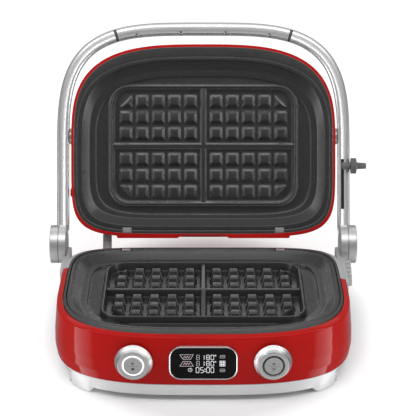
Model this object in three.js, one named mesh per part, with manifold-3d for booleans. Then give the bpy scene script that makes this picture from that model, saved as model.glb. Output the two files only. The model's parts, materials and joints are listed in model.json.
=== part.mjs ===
// Waffle maker: a floating lid on a tubular bail that hinges on two side hubs.
// Millimetres. +X to the right, -Y towards the user, +Z up. Modelled about the base's symmetry plane,
// then the whole group is moved so that the bottom centre of its bounding box is the origin.
import * as THREE from 'three';
import { mergeVertices } from 'three/addons/utils/BufferGeometryUtils.js';
import Module from 'manifold-3d';

const wasm = await Module();
wasm.setup();

// ---------------------------------------------------------------- driving dimensions
const RIM_Z = 83;            // height of the base's plate frame above the table
const HUB_Y = 134;           // hinge axis, behind the centre of the plates
const HUB_Z = RIM_Z - 1;
const OPEN_ANGLE = 112.4;    // how far the lid stands open in the rest pose, degrees from closed
const LID_GAP = 4;           // between the two plate frames when closed
const LID_RIM_Z = RIM_Z + LID_GAP - HUB_Z;   // lid rim plane above the hinge axis, lid closed
const CLEARANCE = 0.3;       // between neighbouring pieces
const WALL = 2.6;            // of the lid shell

// The plate outline: a rounded oblong whose front is rounder than its hinge side.
const OUTLINE = { half: 168.2, front: 121.6, rear: 120.5 };
const WIDEST_Y = 4;          // where the outline is widest
const FRONT_POWER = 3.15;
const REAR_POWER = 6.1;
const OUTLINE_POINTS = 36;

// Waffle pattern, the same on both plates.
const PITCH = 21.1;
const CELL_BASE = 17;
const CELL_TOP = 9;
const FIRST_COLUMN = 16.7;
const FIRST_ROW = 16.8;
const GRID_Y = 6.7;          // centre of the waffle area, towards the hinge side
const POCKET_FLOOR = -14;
const CELL_HEIGHT = 8;
const PAN_FLOOR = -12;
const RIDGE_TOP = -3;

// Bail: two arms and an arch around the lid.
const ARM_X = 182.8;
const ARM_WIDTH = 16;
const ARM_DEPTH = 15;
const ARM_RISE = 13;         // arm centre line above the hinge axis, lid closed
const ARCH_CENTRE = 106.7;   // distance from the axis at which the arch begins
const ARCH_REACH = 173.3;
const ARCH_POWER = 3.65;
const GRIP_HALF = 113;

// Hinge hubs.
const HUB_RADIUS = 24.5;
const HUB_INNER_X = 176.5;
const HUB_SEAM_X = 186.4;
const HUB_OUTER_X = 197.1;
const PIN_RADIUS = 6;

// Lid pivot, half-way along the lid.
const PIVOT_REACH = 140.4;
const PIVOT_RISE = 16.5;
const BOSS_RADIUS = 10.5;
const LID_DEPTH = 76;         // flat open at 180 degrees, the lid comes to rest on its back

// Height lever on the right arm.
const LEVER_REACH = 101.3;
const LEVER_TRAVEL = 49;
const LEVER_X = 191.5;

// Controls on the front.
const DIAL_X = 79.5;
const DIAL_Z = RIM_Z - 31.2;
const DIAL_SPLAY = 2.5;
const DIAL_RADIUS = 21.9;
const DIAL_BASE_Y = -131.6;  // where a dial's flange stands in front of the body
const DISPLAY_Z = RIM_Z - 31.4;
const DISPLAY_HALF = [39.3, 21];

// Rear: power inlet [left, right, bottom, top], lower plate release and lid conduit.
const INLET = [58, 94, 30, 58];
const RELEASE_X = -70;
const RELEASE_Z = 57;
const RELEASE_RADIUS = 6;
const CONDUIT_X = -125.7;
const CONDUIT_Z = 58;
const CONDUIT_RADIUS = 6.2;

// Hinge brackets take the rear corners of the body; the right one also carries the ladder.
const CORNER_X = 150;
const BRACKET_X = 180;
const BRACKET_FRONT = { left: 59, right: 28 };

// Underside.
const SHELL_BOTTOM = 22;
const PAN_BOTTOM = 8.3;
const FOOT_FRONT = { x: 143, y: -86 };
const FOOT_REAR = { x: 125, y: 109 };
const FOOT_RADIUS = 8;

// ---------------------------------------------------------------- materials
const finish = (color, roughness, metalness = 0) =>
  new THREE.MeshStandardMaterial({ color, roughness, metalness });
const red = finish(0xa51414, 0.25);
const charcoal = finish(0x3a3b3c, 0.45, 0.2);
const coated = finish(0x3c3d3e, 0.4, 0.3);
const brushed = finish(0xc4c6c8, 0.35, 1);
const chrome = finish(0xdcdedf, 0.15, 1);
const satin = finish(0xd6d8d9, 0.4, 0.3);
const darkPlastic = finish(0x3f4143, 0.5);
const black = finish(0x0a0a0b, 0.15);
const white = finish(0xf2f2f2, 0.4);
const rubber = finish(0x1c1c1d, 0.9);
const steel = finish(0x9b9d9f, 0.35, 1);
const tinned = finish(0xb9babb, 0.3, 1);
const board = finish(0x1f5a34, 0.6);
const greyPlastic = finish(0x8c8f91, 0.5);

// ---------------------------------------------------------------- geometry helpers
const V2 = (x, y) => new THREE.Vector2(x, y);
const V3 = (x, y, z) => new THREE.Vector3(x, y, z);
const rad = THREE.MathUtils.degToRad;

/** A closed solid through rings of equal length; flat is the 2-D shape that triangulates both ends. */
function loft(rings, flat) {
  const count = rings[0].length;
  const positions = rings.flat().flatMap((p) => [p.x, p.y, p.z]);
  const index = [];
  for (let r = 0; r + 1 < rings.length; r++) {
    for (let i = 0; i < count; i++) {
      const a = r * count + i;
      const b = r * count + (i + 1) % count;
      index.push(a, b, b + count, a, b + count, a + count);
    }
  }
  const last = (rings.length - 1) * count;
  const clockwise = THREE.ShapeUtils.isClockWise(flat);
  for (const [a, b, c] of THREE.ShapeUtils.triangulateShape(flat, [])) {
    const face = clockwise ? [a, b, c] : [c, b, a];
    index.push(...face, ...face.reverse().map((k) => k + last));
  }
  const geometry = new THREE.BufferGeometry();
  geometry.setAttribute('position', new THREE.Float32BufferAttribute(positions, 3));
  geometry.setIndex(index);
  return toSolid(geometry);
}

/** A manifold solid from a closed geometry, with its faces turned outwards. */
function toSolid(geometry) {
  const bare = geometry.clone();
  bare.deleteAttribute('normal');
  bare.deleteAttribute('uv');
  const merged = mergeVertices(bare, 1e-4);
  const p = merged.attributes.position.array;
  const tri = merged.index.array;
  let volume = 0;
  for (let i = 0; i < tri.length; i += 3) {
    const [a, b, c] = [0, 1, 2].map((k) => V3(...p.slice(3 * tri[i + k], 3 * tri[i + k] + 3)));
    volume += a.dot(b.cross(c));
  }
  const faces = new Uint32Array(tri);
  if (volume < 0) {
    for (let i = 0; i < faces.length; i += 3) {
      [faces[i], faces[i + 1]] = [faces[i + 1], faces[i]];
    }
  }
  const data = { numProp: 3, vertProperties: new Float32Array(p), triVerts: faces };
  return new wasm.Manifold(new wasm.Mesh(data));
}

function toGeometry(solid) {
  const mesh = solid.getMesh();
  const geometry = new THREE.BufferGeometry();
  geometry.setAttribute('position', new THREE.BufferAttribute(mesh.vertProperties, 3));
  geometry.setIndex(new THREE.BufferAttribute(mesh.triVerts, 1));
  geometry.computeVertexNormals();
  return geometry;
}

/** Signed power, for superellipses. */
const bend = (value, power) => Math.sign(value) * Math.abs(value) ** (2 / power);

/** The plate outline, grown at its sides, front and rear, at height z. */
function outline(grow, z = 0, points = OUTLINE_POINTS) {
  const [side, front, rear] = Array.isArray(grow) ? grow : [grow, grow, grow];
  return Array.from({ length: points }, (_, i) => {
    const t = 2 * Math.PI * i / points;
    const power = Math.sin(t) > 0 ? REAR_POWER : FRONT_POWER;
    const reach = Math.sin(t) > 0 ? OUTLINE.rear + rear - WIDEST_Y : OUTLINE.front + front + WIDEST_Y;
    const x = (OUTLINE.half + side) * bend(Math.cos(t), power);
    return V3(x, WIDEST_Y + reach * bend(Math.sin(t), power), z);
  });
}

/** Stacks plate outlines: each level is [z, side, front, rear] or [z, all]. */
function stack(levels) {
  const rings = levels.map(([z, side, front = side, rear = side]) => outline([side, front, rear], z));
  return loft(rings, rings[0].map((p) => V2(p.x, p.y)));
}

/** A box from its lowest to its highest corner. */
function box(low, high) {
  const size = high.map((h, i) => h - low[i]);
  const geometry = new THREE.BoxGeometry(...size);
  geometry.translate(...low.map((l, i) => l + size[i] / 2));
  return toSolid(geometry);
}

/** A cylinder, or a cone, between two places along X, Y or Z. */
function rod(axis, from, to, radius, centre, radiusTo = radius, sides = 18) {
  const geometry = new THREE.CylinderGeometry(radiusTo, radius, to - from, sides);
  geometry.translate(0, (from + to) / 2, 0);
  if (axis === 'x') geometry.rotateZ(-Math.PI / 2);
  if (axis === 'z') geometry.rotateX(Math.PI / 2);
  geometry.translate(...centre);
  return toSolid(geometry);
}

/** A rounded rectangle, centred, with corner radius r. */
function roundedRect(halfX, halfY, r, steps = 4) {
  const corners = [[1, 1], [-1, 1], [-1, -1], [1, -1]];
  return corners.flatMap(([sx, sy], k) =>
    Array.from({ length: steps + 1 }, (_, i) => {
      const t = Math.PI / 2 * (k + i / steps);
      return V2(sx * (halfX - r) + r * Math.cos(t), sy * (halfY - r) + r * Math.sin(t));
    }));
}

/** A block with rounded corners that tapers from one level to the next: [z, halfX, halfY, r]. */
function roundedBlock(levels, centreX = 0, centreY = 0) {
  const rings = levels.map(([z, hx, hy, r]) =>
    roundedRect(hx, hy, r).map((p) => V3(p.x + centreX, p.y + centreY, z)));
  return loft(rings, rings[0].map((p) => V2(p.x, p.y)));
}

/** Sweeps a section along a flat path; across lies in the path's plane, normal stands on it. */
function sweep(section, path, normal) {
  const rings = path.map((p, i) => {
    const ahead = path[Math.min(i + 1, path.length - 1)];
    const behind = path[Math.max(i - 1, 0)];
    const across = ahead.clone().sub(behind).normalize().cross(normal).normalize();
    return section.map((s) => p.clone().addScaledVector(across, s.x).addScaledVector(normal, s.y));
  });
  return loft(rings, section);
}

const circle = (radius, sides = 10) =>
  Array.from({ length: sides }, (_, i) => {
    const t = 2 * Math.PI * i / sides;
    return V2(radius * Math.cos(t), radius * Math.sin(t));
  });

const mirrorX = (solid) => solid.mirror([1, 0, 0]);

// ---------------------------------------------------------------- scene graph
const product = new THREE.Group();
const base = new THREE.Group();
const lidSide = new THREE.Group();     // bail and lid: their own frame is the hinge axis, lid closed
lidSide.position.set(0, HUB_Y, HUB_Z);
lidSide.rotation.x = -rad(OPEN_ANGLE);
product.add(base, lidSide);

function add(group, name, solid, material) {
  const mesh = new THREE.Mesh(toGeometry(solid), material);
  mesh.name = name;
  group.add(mesh);
}

/** Adds a right-hand piece and its mirrored left-hand twin. */
function addPair(group, name, solid, material) {
  add(group, `${name}_right`, solid, material);
  add(group, `${name}_left`, mirrorX(solid), material);
}

// ---------------------------------------------------------------- plates, the same in base and lid
/** Removable die-cast plate: a stepped dish, a ridge, two dividers and sixty truncated pyramids. */
function wafflePlate() {
  const grow = (half, front, rear) => [half - OUTLINE.half, front - OUTLINE.front, rear - OUTLINE.rear];
  const body = stack([
    [-16.6, ...grow(126, 78, 90)],
    [-14.6, ...grow(142, 87, 97)],
    [-12, ...grow(148, 92, 102)],
    [-4, ...grow(159, 107.5, 111.5)],
    [-4, ...grow(164.6, 109.4, 116.4)],
    [-0.5, ...grow(164.6, 109.4, 116.4)],
  ]);
  const dish = stack([
    [PAN_FLOOR, ...grow(139.7, 84, 95)],
    [-9.2, ...grow(140.3, 84.6, 95.6)],
    [-9, ...grow(148.6, 92, 101.5)],
    [-1.5, ...grow(157, 104, 109.8)],
    [1, ...grow(158, 105, 110.8)],
  ]);
  const ridge = roundedBlock([[-13, 122.7, 79, 26], [RIDGE_TOP, 120.4, 76.7, 24]], 0, GRID_Y - 1);
  const pocket = roundedBlock([[POCKET_FLOOR, 116, 72.6, 20], [1, 118.6, 75.2, 22]], 0, GRID_Y - 1);
  let plate = body.subtract(dish).add(ridge).subtract(pocket);
  const dividerX = roundedBlock([[-15, 118.5, 3.6, 0.5], [-4.5, 118.5, 2.2, 0.5]], 0, GRID_Y);
  const dividerY = roundedBlock([[-15, 3.6, 74.5, 0.5], [-4.5, 2.2, 74.5, 0.5]], 0, GRID_Y - 1);
  const cells = [];
  for (const side of [-1, 1]) {
    for (const half of [-1, 1]) {
      for (let column = 0; column < 5; column++) {
        for (let row = 0; row < 3; row++) {
          const x = side * (FIRST_COLUMN + PITCH * column);
          const y = GRID_Y + half * (FIRST_ROW + PITCH * row);
          const corner = column === 4 && row === 2;
          cells.push(corner ? cornerPyramid(x, y, side, half) : pyramid(x, y));
        }
      }
    }
  }
  plate = wasm.Manifold.union([plate, dividerX, dividerY, ...cells]);
  return plate;
}

const pyramidLevels = [[POCKET_FLOOR - 0.5, CELL_BASE / 2], [POCKET_FLOOR + CELL_HEIGHT, CELL_TOP / 2]];

function pyramid(x, y) {
  const square = [[1, 1], [-1, 1], [-1, -1], [1, -1]];
  const rings = pyramidLevels.map(([z, h]) => square.map(([sx, sy]) => V3(x + sx * h, y + sy * h, z)));
  return loft(rings, rings[0].map((p) => V2(p.x, p.y)));
}

/** The cell in a rounded corner of the waffle is cut to a triangle. */
function cornerPyramid(x, y, side, half) {
  const triangle = [[-1, -1], [1, -1], [-1, 1]];
  const rings = pyramidLevels.map(([z, h]) =>
    triangle.map(([sx, sy]) => V3(x + side * sx * h, y + half * sy * h, z)));
  return loft(rings, rings[0].map((p) => V2(p.x, p.y)));
}

/** Plastic frame ring around the removable plate, with a ledge that the plate rests on. */
function plateFrame() {
  const ring = stack([[-14, -6], [-4.5, -6], [-4.5, 0], [0, 0]]);
  const seat = stack([[-4.3, -3, -11.5, -3.5], [1, -3, -11.5, -3.5]]);
  const well = stack([[-15, -8.6, -13, -8.6], [-4, -8.6, -13, -8.6]]);
  return ring.subtract(seat).subtract(well);
}

/** Bright sheet-metal tray that throws the element's heat at the plate. */
function reflector() {
  const outer = stack([[-36, -30, -26, -20], [-35, -24, -22, -16], [-21, -11, -16, -11]]);
  const inner = stack([[-35, -31, -27, -21], [-34.5, -25, -23, -17], [-20, -12, -17, -12]]);
  const sensorHole = rod('z', -40, -30, 6, [0, GRID_Y, 0]);
  return outer.subtract(inner).subtract(sensorHole);
}

/** Tubular heating element: one loop that follows the waffle area, its two ends at the hinge side. */
function element() {
  const loop = roundedRect(104, 60, 22).map((p) => V3(p.x, -p.y + GRID_Y, -25));
  const ends = [V3(12, 66 + GRID_Y, -25), V3(-12, 66 + GRID_Y, -25)];
  const around = [V3(22, 60 + GRID_Y, -25), ...rotateStart(loop), V3(-22, 60 + GRID_Y, -25)];
  return sweep(circle(3.3, 6), [ends[0], ...around, ends[1]], V3(0, 0, 1));
}

/** Turns the loop's points so that they start at its rear right corner and run round the front. */
function rotateStart(loop) {
  const right = loop.filter((p) => p.x > 0).sort((a, b) => b.y - a.y);
  const left = loop.filter((p) => p.x < 0).sort((a, b) => a.y - b.y);
  return [...right, ...left];
}

/** Catch at the hinge side that holds a plate: a post and a tab that reaches over the plate's notch. */
const CLIP_X = 99;
const CLIP_Y = 118.6;
const CLIP_HALF = 5.5;

function clip(x) {
  const post = box([x - CLIP_HALF, CLIP_Y - 1.6, -7], [x + CLIP_HALF, CLIP_Y + 0.6, -0.5]);
  const tab = box([x - CLIP_HALF, CLIP_Y - 3.2, -3.4], [x + CLIP_HALF, CLIP_Y - 1, -0.8]);
  return post.add(tab);
}

function clipNotch(x) {
  return box([x - CLIP_HALF - 1, 112, -8], [x + CLIP_HALF + 1, CLIP_Y + 1, 1]);
}

/** Turns a piece made for the base over, so that it faces down in the lid. */
const toLid = (solid) => solid.rotate([0, 180, 0]).translate([0, -HUB_Y, LID_RIM_Z]);
const toBase = (solid) => solid.translate([0, 0, RIM_Z]);

const notches = clipNotch(CLIP_X).add(clipNotch(-CLIP_X));
const plate = wafflePlate().subtract(notches);
const frame = plateFrame().subtract(notches);

// ---------------------------------------------------------------- base
const SHELL_LEVELS = [
  [SHELL_BOTTOM, 10.8, 9, 4],
  [33, 12.4, 10.4, 4.6],
  [48, 12, 10.4, 4.8],
  [64, 10.2, 9, 4.8],
  [78, 8.2, 6.4, 4.6],
  [81, 7.4, 5.4, 4.2],
  [82.4, 0.8, 0.8, 0.8],
];
const INNER_LEVELS = [
  [SHELL_BOTTOM - 1, 7.6, 6, 1],
  [33, 9.4, 7.4, 1.6],
  [48, 9, 7.4, 1.8],
  [64, 7.2, 6, 1.8],
  [79.4, 4.6, 3.4, 1.4],
];
/** The rear corners of the body belong to the hinge brackets. */
const cornerRight = box([CORNER_X, BRACKET_FRONT.right, 10], [230, 170, 100]);
const cornerLeft = box([-230, BRACKET_FRONT.left, 10], [-CORNER_X, 170, 100]);

const shellOuter = stack(SHELL_LEVELS);
const shellInner = stack(INNER_LEVELS).add(stack([[79, 0.4], [90, 0.4]]));
const wall = shellOuter.subtract(shellInner);

/** A dial's frame: its axis leans out of the front, splayed a little sideways. */
function onDial(side, solid) {
  return solid.rotate([0, 0, side * DIAL_SPLAY]).translate([side * DIAL_X, DIAL_BASE_Y, DIAL_Z]);
}

const dialHole = (side) => onDial(side, rod('y', -8, 32, 9, [0, 0, 0]));
const displayWindow = displayBlock(-150, -100, -3);

/** A block with the display's rounded outline, between two depths along Y. */
function displayBlock(from, to, grow) {
  const flat = roundedRect(DISPLAY_HALF[0] + grow, DISPLAY_HALF[1] + grow, 14 + grow);
  const rings = [from, to].map((y) => flat.map((p) => V3(p.x, y, p.y + DISPLAY_Z)));
  return loft(rings, flat);
}

const redWall = wall
  .subtract(cornerRight)
  .subtract(cornerLeft)
  .subtract(displayWindow)
  .subtract(dialHole(1))
  .subtract(dialHole(-1));
const rearZone = box([-CORNER_X - 1, 100, 0], [CORNER_X + 1, 170, 100]);
add(base, 'base_shell', redWall.subtract(rearZone), red);
const [inletLeft, inletRight, inletLow, inletHigh] = INLET;
const inletHole = box(
  [inletLeft - CLEARANCE, 100, inletLow - CLEARANCE],
  [inletRight + CLEARANCE, 170, inletHigh + CLEARANCE]);
const rearWall = redWall.intersect(rearZone)
  .subtract(inletHole)
  .subtract(rod('y', 100, 140, RELEASE_RADIUS + CLEARANCE, [RELEASE_X, 0, RELEASE_Z]))
  .subtract(rod('y', 100, 140, CONDUIT_RADIUS + CLEARANCE, [CONDUIT_X, 0, CONDUIT_Z]));
add(base, 'rear_cover', rearWall, red);

// Bottom pan: silver skirt, floor and four feet in one moulding.
const panOuter = stack([[PAN_BOTTOM, 8.4, 6.5, 1], [SHELL_BOTTOM - CLEARANCE, 9.8, 8.2, 3.4]]);
const panInner = stack([[PAN_BOTTOM + 2.5, 6, 4, -1.5], [SHELL_BOTTOM + 1, 7, 5.6, 0.8]]);
const footPlaces = [-1, 1].flatMap((side) => [FOOT_FRONT, FOOT_REAR].map(({ x, y }) => [side * x, y]));
const footBlocks = footPlaces.map(([x, y]) =>
  roundedBlock([[1, 13, 15, 4], [PAN_BOTTOM + 1, 15, 17, 4]], x + Math.sign(x) * 4, y < 0 ? y - 6 : y - 2));
const footSockets = footPlaces.map(([x, y]) => rod('z', 0, 4, FOOT_RADIUS + CLEARANCE, [x, y, 0]));
const footTrim = stack([[0, 8, 6.2, 0.6], [PAN_BOTTOM + 2, 8.6, 6.6, 1.2]]);
const vents = [];
for (let i = -4; i <= 4; i++) {
  vents.push(box([i * 14 - 2, -30, 5], [i * 14 + 2, 40, 14]));
}
const pan = panOuter
  .subtract(panInner)
  .add(wasm.Manifold.union(footBlocks).intersect(footTrim))
  .subtract(wasm.Manifold.union([...footSockets, ...vents]));
add(base, 'bottom_pan', pan, satin);

for (const [sideName, side] of [['left', -1], ['right', 1]]) {
  for (const [endName, { x, y }] of [['front', FOOT_FRONT], ['rear', FOOT_REAR]]) {
    const pad = rod('z', 0, 3.7, FOOT_RADIUS, [side * x, y, 0], FOOT_RADIUS, 20);
    add(base, `rubber_foot_${endName}_${sideName}`, pad, rubber);
  }
}

add(base, 'lower_plate_frame', toBase(frame), charcoal);
add(base, 'lower_plate', toBase(plate), coated);
add(base, 'lower_reflector', toBase(reflector()), tinned);
add(base, 'lower_element', toBase(element()), steel);
const sensor = rod('z', -44, -19, 4.5, [0, GRID_Y, 0]);
add(base, 'lower_thermostat', toBase(sensor), steel);
addPair(base, 'lower_clip', toBase(clip(CLIP_X)), greyPlastic);

// Hinge brackets: corner covers that carry the fixed half of each hub.
const hubRing = rod('x', HUB_INNER_X, HUB_SEAM_X - 0.2, HUB_RADIUS, [0, HUB_Y, HUB_Z], HUB_RADIUS, 28)
  .subtract(rod('x', HUB_INNER_X + 2, 190, PIN_RADIUS + CLEARANCE, [0, HUB_Y, HUB_Z]));
const innerFaceSpace = rod('x', HUB_INNER_X - CLEARANCE, 200, HUB_RADIUS + CLEARANCE,
  [0, HUB_Y, HUB_Z], HUB_RADIUS + CLEARANCE, 28);

/** Web from the rear corner of the body out to the hub, below the arm's path. */
function web(frontY) {
  const profile = [V2(frontY, 44), V2(132, 44), V2(145, 58), V2(145, 74), V2(120, 75),
    V2(frontY + 20, 77), V2(frontY, 76)];
  const rings = [BRACKET_X - 15, BRACKET_X].map((x) => profile.map((p) => V3(x, p.x, p.y)));
  return loft(rings, profile);
}

/** A rear corner of the body, with the web out to its hub. */
function hingeBracket(frontY) {
  const zone = box([CORNER_X + CLEARANCE, frontY + CLEARANCE, SHELL_BOTTOM], [230, 170, 100]);
  const cover = wall.intersect(zone);
  const arm = web(frontY + 4).subtract(shellInner).subtract(innerFaceSpace);
  return cover.add(arm);
}

/** Ladder of height steps beside the right hub, for the lever. */
function ladder() {
  const steps = [];
  for (let i = 0; i < 5; i++) {
    const y = 66 + 6 * i;
    steps.push(box([BRACKET_X - 1, y, 54], [187.5, y + 6, 64 + 3 * i]));
  }
  return wasm.Manifold.union(steps).subtract(innerFaceSpace);
}

const bracketRight = hingeBracket(BRACKET_FRONT.right).add(ladder());
const bracketLeft = mirrorX(hingeBracket(BRACKET_FRONT.left));
add(base, 'hinge_bracket_right', bracketRight, satin);
add(base, 'hinge_bracket_left', bracketLeft, satin);
addPair(base, 'hub_ring', hubRing, brushed);
const pin = rod('x', HUB_INNER_X + 2.4, HUB_OUTER_X - 2.5, PIN_RADIUS, [0, HUB_Y, HUB_Z]);
addPair(base, 'hinge_pin', pin, steel);

// Display: bezel, glass and the module behind it.
const bezel = displayBlock(-135, -132.2, 0)
  .add(displayBlock(-132.4, -125, -3.4))
  .subtract(displayBlock(-140, -133.4, -2.2))
  .subtract(displayBlock(-140, -120, -5));
add(base, 'display_bezel', bezel, chrome);
const displayGlass = displayBlock(-134.6, -133.7, -2.5).add(displayBlock(-134, -125.5, -5.4));
add(base, 'display_glass', displayGlass, black);
add(base, 'display_module', displayBlock(-124.6, -116, -6), darkPlastic);
const controlBoard = box([-100, -106, 30], [100, -104.4, 58]);
add(base, 'control_board', controlBoard, board);

// Dials: a knurled chrome ring that turns, a lit ring and a push button in its centre.
function dialParts(side) {
  const along = (from, to, radius, radiusTo = radius, sides = 22) =>
    onDial(side, rod('y', from, to, radius, [0, 0, 0], radiusTo, sides));
  const knob = along(-9.9, -4.4, 17.2, 19.6)
    .add(along(-4.4, 0, 19.6, DIAL_RADIUS))
    .subtract(along(-20, -5.9, 12.8))
    .subtract(along(-20, 8, 7));
  const lightRing = along(-9.6, -6.3, 12.4).subtract(along(-20, 5, 10.9));
  const button = along(-10.6, -7.4, 10.5).add(along(-7.8, 3.2, 5, 5, 16));
  const encoder = onDial(side, box([-9, 10.1, -9], [9, 22.6, 9]))
    .add(along(4.6, 10.6, 5.5, 5.5, 16));
  return { knob, lightRing, button, encoder };
}

for (const [sideName, side] of [['left', -1], ['right', 1]]) {
  const parts = dialParts(side);
  add(base, `dial_${sideName}`, parts.knob, chrome);
  add(base, `dial_light_ring_${sideName}`, parts.lightRing, side < 0 ? white : darkPlastic);
  add(base, `dial_button_${sideName}`, parts.button, brushed);
  add(base, `dial_encoder_${sideName}`, parts.encoder, darkPlastic);
}

// Rear: power inlet, lower plate release, and the conduit that feeds the lid.
const inletBody = box([inletLeft, 112, inletLow], [inletRight, 127.5, inletHigh]);
const socket = box([inletLeft + 3, 118, inletLow + 3], [inletRight - 3, 140, inletHigh - 3]);
add(base, 'power_inlet', inletBody.subtract(socket), black);
const releaseLow = rod('y', 115, 127.5, RELEASE_RADIUS, [RELEASE_X, 0, RELEASE_Z], RELEASE_RADIUS, 16);
add(base, 'lower_release_button', releaseLow, darkPlastic);
const conduitPath = [[118, 58], [126, 58], [136, 59.5], [146, 64], [153.5, 71], [157.5, 79], [161, 88.5]]
  .map(([y, z]) => V3(CONDUIT_X, y, z));
const conduit = sweep(circle(CONDUIT_RADIUS, 10), conduitPath, V3(1, 0, 0));
add(base, 'lid_conduit', conduit, greyPlastic);
const gland = rod('y', 124.3, 130, 9.5, [CONDUIT_X, 0, CONDUIT_Z])
  .subtract(rod('y', 100, 140, CONDUIT_RADIUS + 1, [CONDUIT_X, 0, CONDUIT_Z]));
add(base, 'conduit_gland', gland, darkPlastic);

// ---------------------------------------------------------------- lid, closed, about the hinge axis
const LID_LEVELS = [
  [0, 3.6, 4, 4.4],
  [6, 4, 4.2, 4.6],
  [26, 3, 3, 3.6],
  [46, -1.5, -1.5, -0.5],
  [61, -10, -9.5, -8.5],
  [71, -23, -20, -19],
  [LID_DEPTH, -48, -40, -38],
];
const lidOuter = stack(LID_LEVELS);
const lidInner = stack([[-1, 0.4], ...LID_LEVELS.slice(1).map(([z, side, front, rear]) =>
  [z - WALL, side - WALL, front - WALL, rear - WALL])]);
const inLid = (solid) => solid.translate([0, -HUB_Y, LID_RIM_Z]);
const atPivot = [0, -PIVOT_REACH, PIVOT_RISE];
const boss = rod('x', 168.4, ARM_X - ARM_WIDTH / 2 - CLEARANCE, BOSS_RADIUS, atPivot)
  .subtract(rod('x', 169.8, 180, 4 + CLEARANCE, atPivot));
const bossHole = rod('x', 150, 190, BOSS_RADIUS + CLEARANCE, atPivot);
const atRelease = [0, -67, PIVOT_RISE];
const releaseHigh = rod('x', -173.4, -166, RELEASE_RADIUS, atRelease, RELEASE_RADIUS, 16);
const releaseHoleRadius = RELEASE_RADIUS + CLEARANCE;
const releaseHole = rod('x', -190, -150, releaseHoleRadius, atRelease, releaseHoleRadius, 16);
const conduitHole = sweep(circle(CONDUIT_RADIUS + 1, 10), conduitPath, V3(1, 0, 0))
  .translate([0, -HUB_Y, -HUB_Z])
  .rotate([OPEN_ANGLE, 0, 0]);
const hingeNotch = box([-28, -12, 0], [28, -5, LID_RIM_Z + 3]);
const lidShell = inLid(lidOuter.subtract(lidInner))
  .subtract(bossHole)
  .subtract(mirrorX(bossHole))
  .subtract(releaseHole)
  .subtract(conduitHole)
  .subtract(hingeNotch);
add(lidSide, 'lid_shell', lidShell, red);
add(lidSide, 'upper_plate_frame', toLid(frame), charcoal);
add(lidSide, 'upper_plate', toLid(plate), coated);
add(lidSide, 'upper_reflector', toLid(reflector()), tinned);
add(lidSide, 'upper_element', toLid(element()), steel);
addPair(lidSide, 'upper_clip', toLid(clip(CLIP_X)), greyPlastic);
add(lidSide, 'upper_release_button', releaseHigh, darkPlastic);
addPair(lidSide, 'pivot_boss', boss, darkPlastic);
const pivotPin = rod('x', 170.2, ARM_X, 4, atPivot);
addPair(lidSide, 'pivot_pin', pivotPin, steel);

// ---------------------------------------------------------------- bail
/** A rounded section: across the arm, and along its depth. */
const armSection = Array.from({ length: 12 }, (_, i) => {
  const t = 2 * Math.PI * i / 12;
  return V2(ARM_WIDTH / 2 * bend(Math.cos(t), 2.8), ARM_DEPTH / 2 * bend(Math.sin(t), 2.8));
});
const archPoint = (t) => V3(
  ARM_X * bend(Math.cos(t), ARCH_POWER),
  -(ARCH_CENTRE + ARCH_REACH * bend(Math.sin(t), ARCH_POWER)),
  ARM_RISE);

/** The arch parameter at which the right arm reaches x. */
const archAt = (x) => Math.acos((x / ARM_X) ** (ARCH_POWER / 2));

function archPath(fromX, toX, steps) {
  const from = archAt(fromX);
  const to = archAt(toX);
  return Array.from({ length: steps + 1 }, (_, i) => archPoint(from + (to - from) * i / steps));
}

const up = V3(0, 0, 1);
const hubSpace = rod('x', 160, 200, HUB_RADIUS + CLEARANCE, [0, 0, 0], HUB_RADIUS + CLEARANCE, 28);
const armPath = [V3(ARM_X, -14, ARM_RISE), V3(ARM_X, -70, ARM_RISE), ...archPath(ARM_X, GRIP_HALF + 1, 14)];
const armTube = sweep(armSection, armPath, up)
  .subtract(hubSpace)
  .subtract(rod('x', 160, ARM_X + CLEARANCE, 4 + CLEARANCE, atPivot));
const leverSlot = box([179, -LEVER_REACH - 9, 0], [183, -LEVER_REACH + LEVER_TRAVEL + 7, ARM_RISE - 2]);
add(lidSide, 'bail_arm_right', armTube.subtract(leverSlot), brushed);
add(lidSide, 'bail_arm_left', mirrorX(armTube), brushed);
const seamPath = [GRIP_HALF + 0.5, GRIP_HALF - 0.8].map((x) => archPoint(archAt(x)));
const seamSection = armSection.map((p) => p.clone().multiplyScalar(0.94));
addPair(lidSide, 'grip_seam', sweep(seamSection, seamPath, up), darkPlastic);

const halfGrip = archPath(GRIP_HALF - 1 - CLEARANCE, 12, 5);
const otherHalf = halfGrip.map((p) => V3(-p.x, p.y, p.z)).reverse();
const SCREW_X = [29, 86];
const screwPlaces = SCREW_X.flatMap((x) => [x, -x]).map((x) => {
  const p = archPoint(archAt(Math.abs(x)));
  return V3(x, p.y, p.z);
});
let grip = sweep(armSection, [...halfGrip, ...otherHalf], up);
for (const p of screwPlaces) {
  grip = grip.subtract(rod('y', 0, ARM_WIDTH, 2.2 + CLEARANCE, [p.x, p.y, p.z]));
}
add(lidSide, 'handle_grip', grip, brushed);
screwPlaces.forEach((p, i) => {
  const screw = rod('y', 0.5, ARM_WIDTH / 2 - 1, 2.2, [p.x, p.y, p.z], 2.2, 12);
  add(lidSide, `grip_screw_${i + 1}`, screw, steel);
});

const drum = rod('x', HUB_SEAM_X + 0.2, HUB_OUTER_X, HUB_RADIUS, [0, 0, 0], HUB_RADIUS, 28)
  .subtract(rod('x', 180, HUB_OUTER_X - 2, PIN_RADIUS + CLEARANCE, [0, 0, 0]));
addPair(lidSide, 'hub_drum', drum, brushed);

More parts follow.
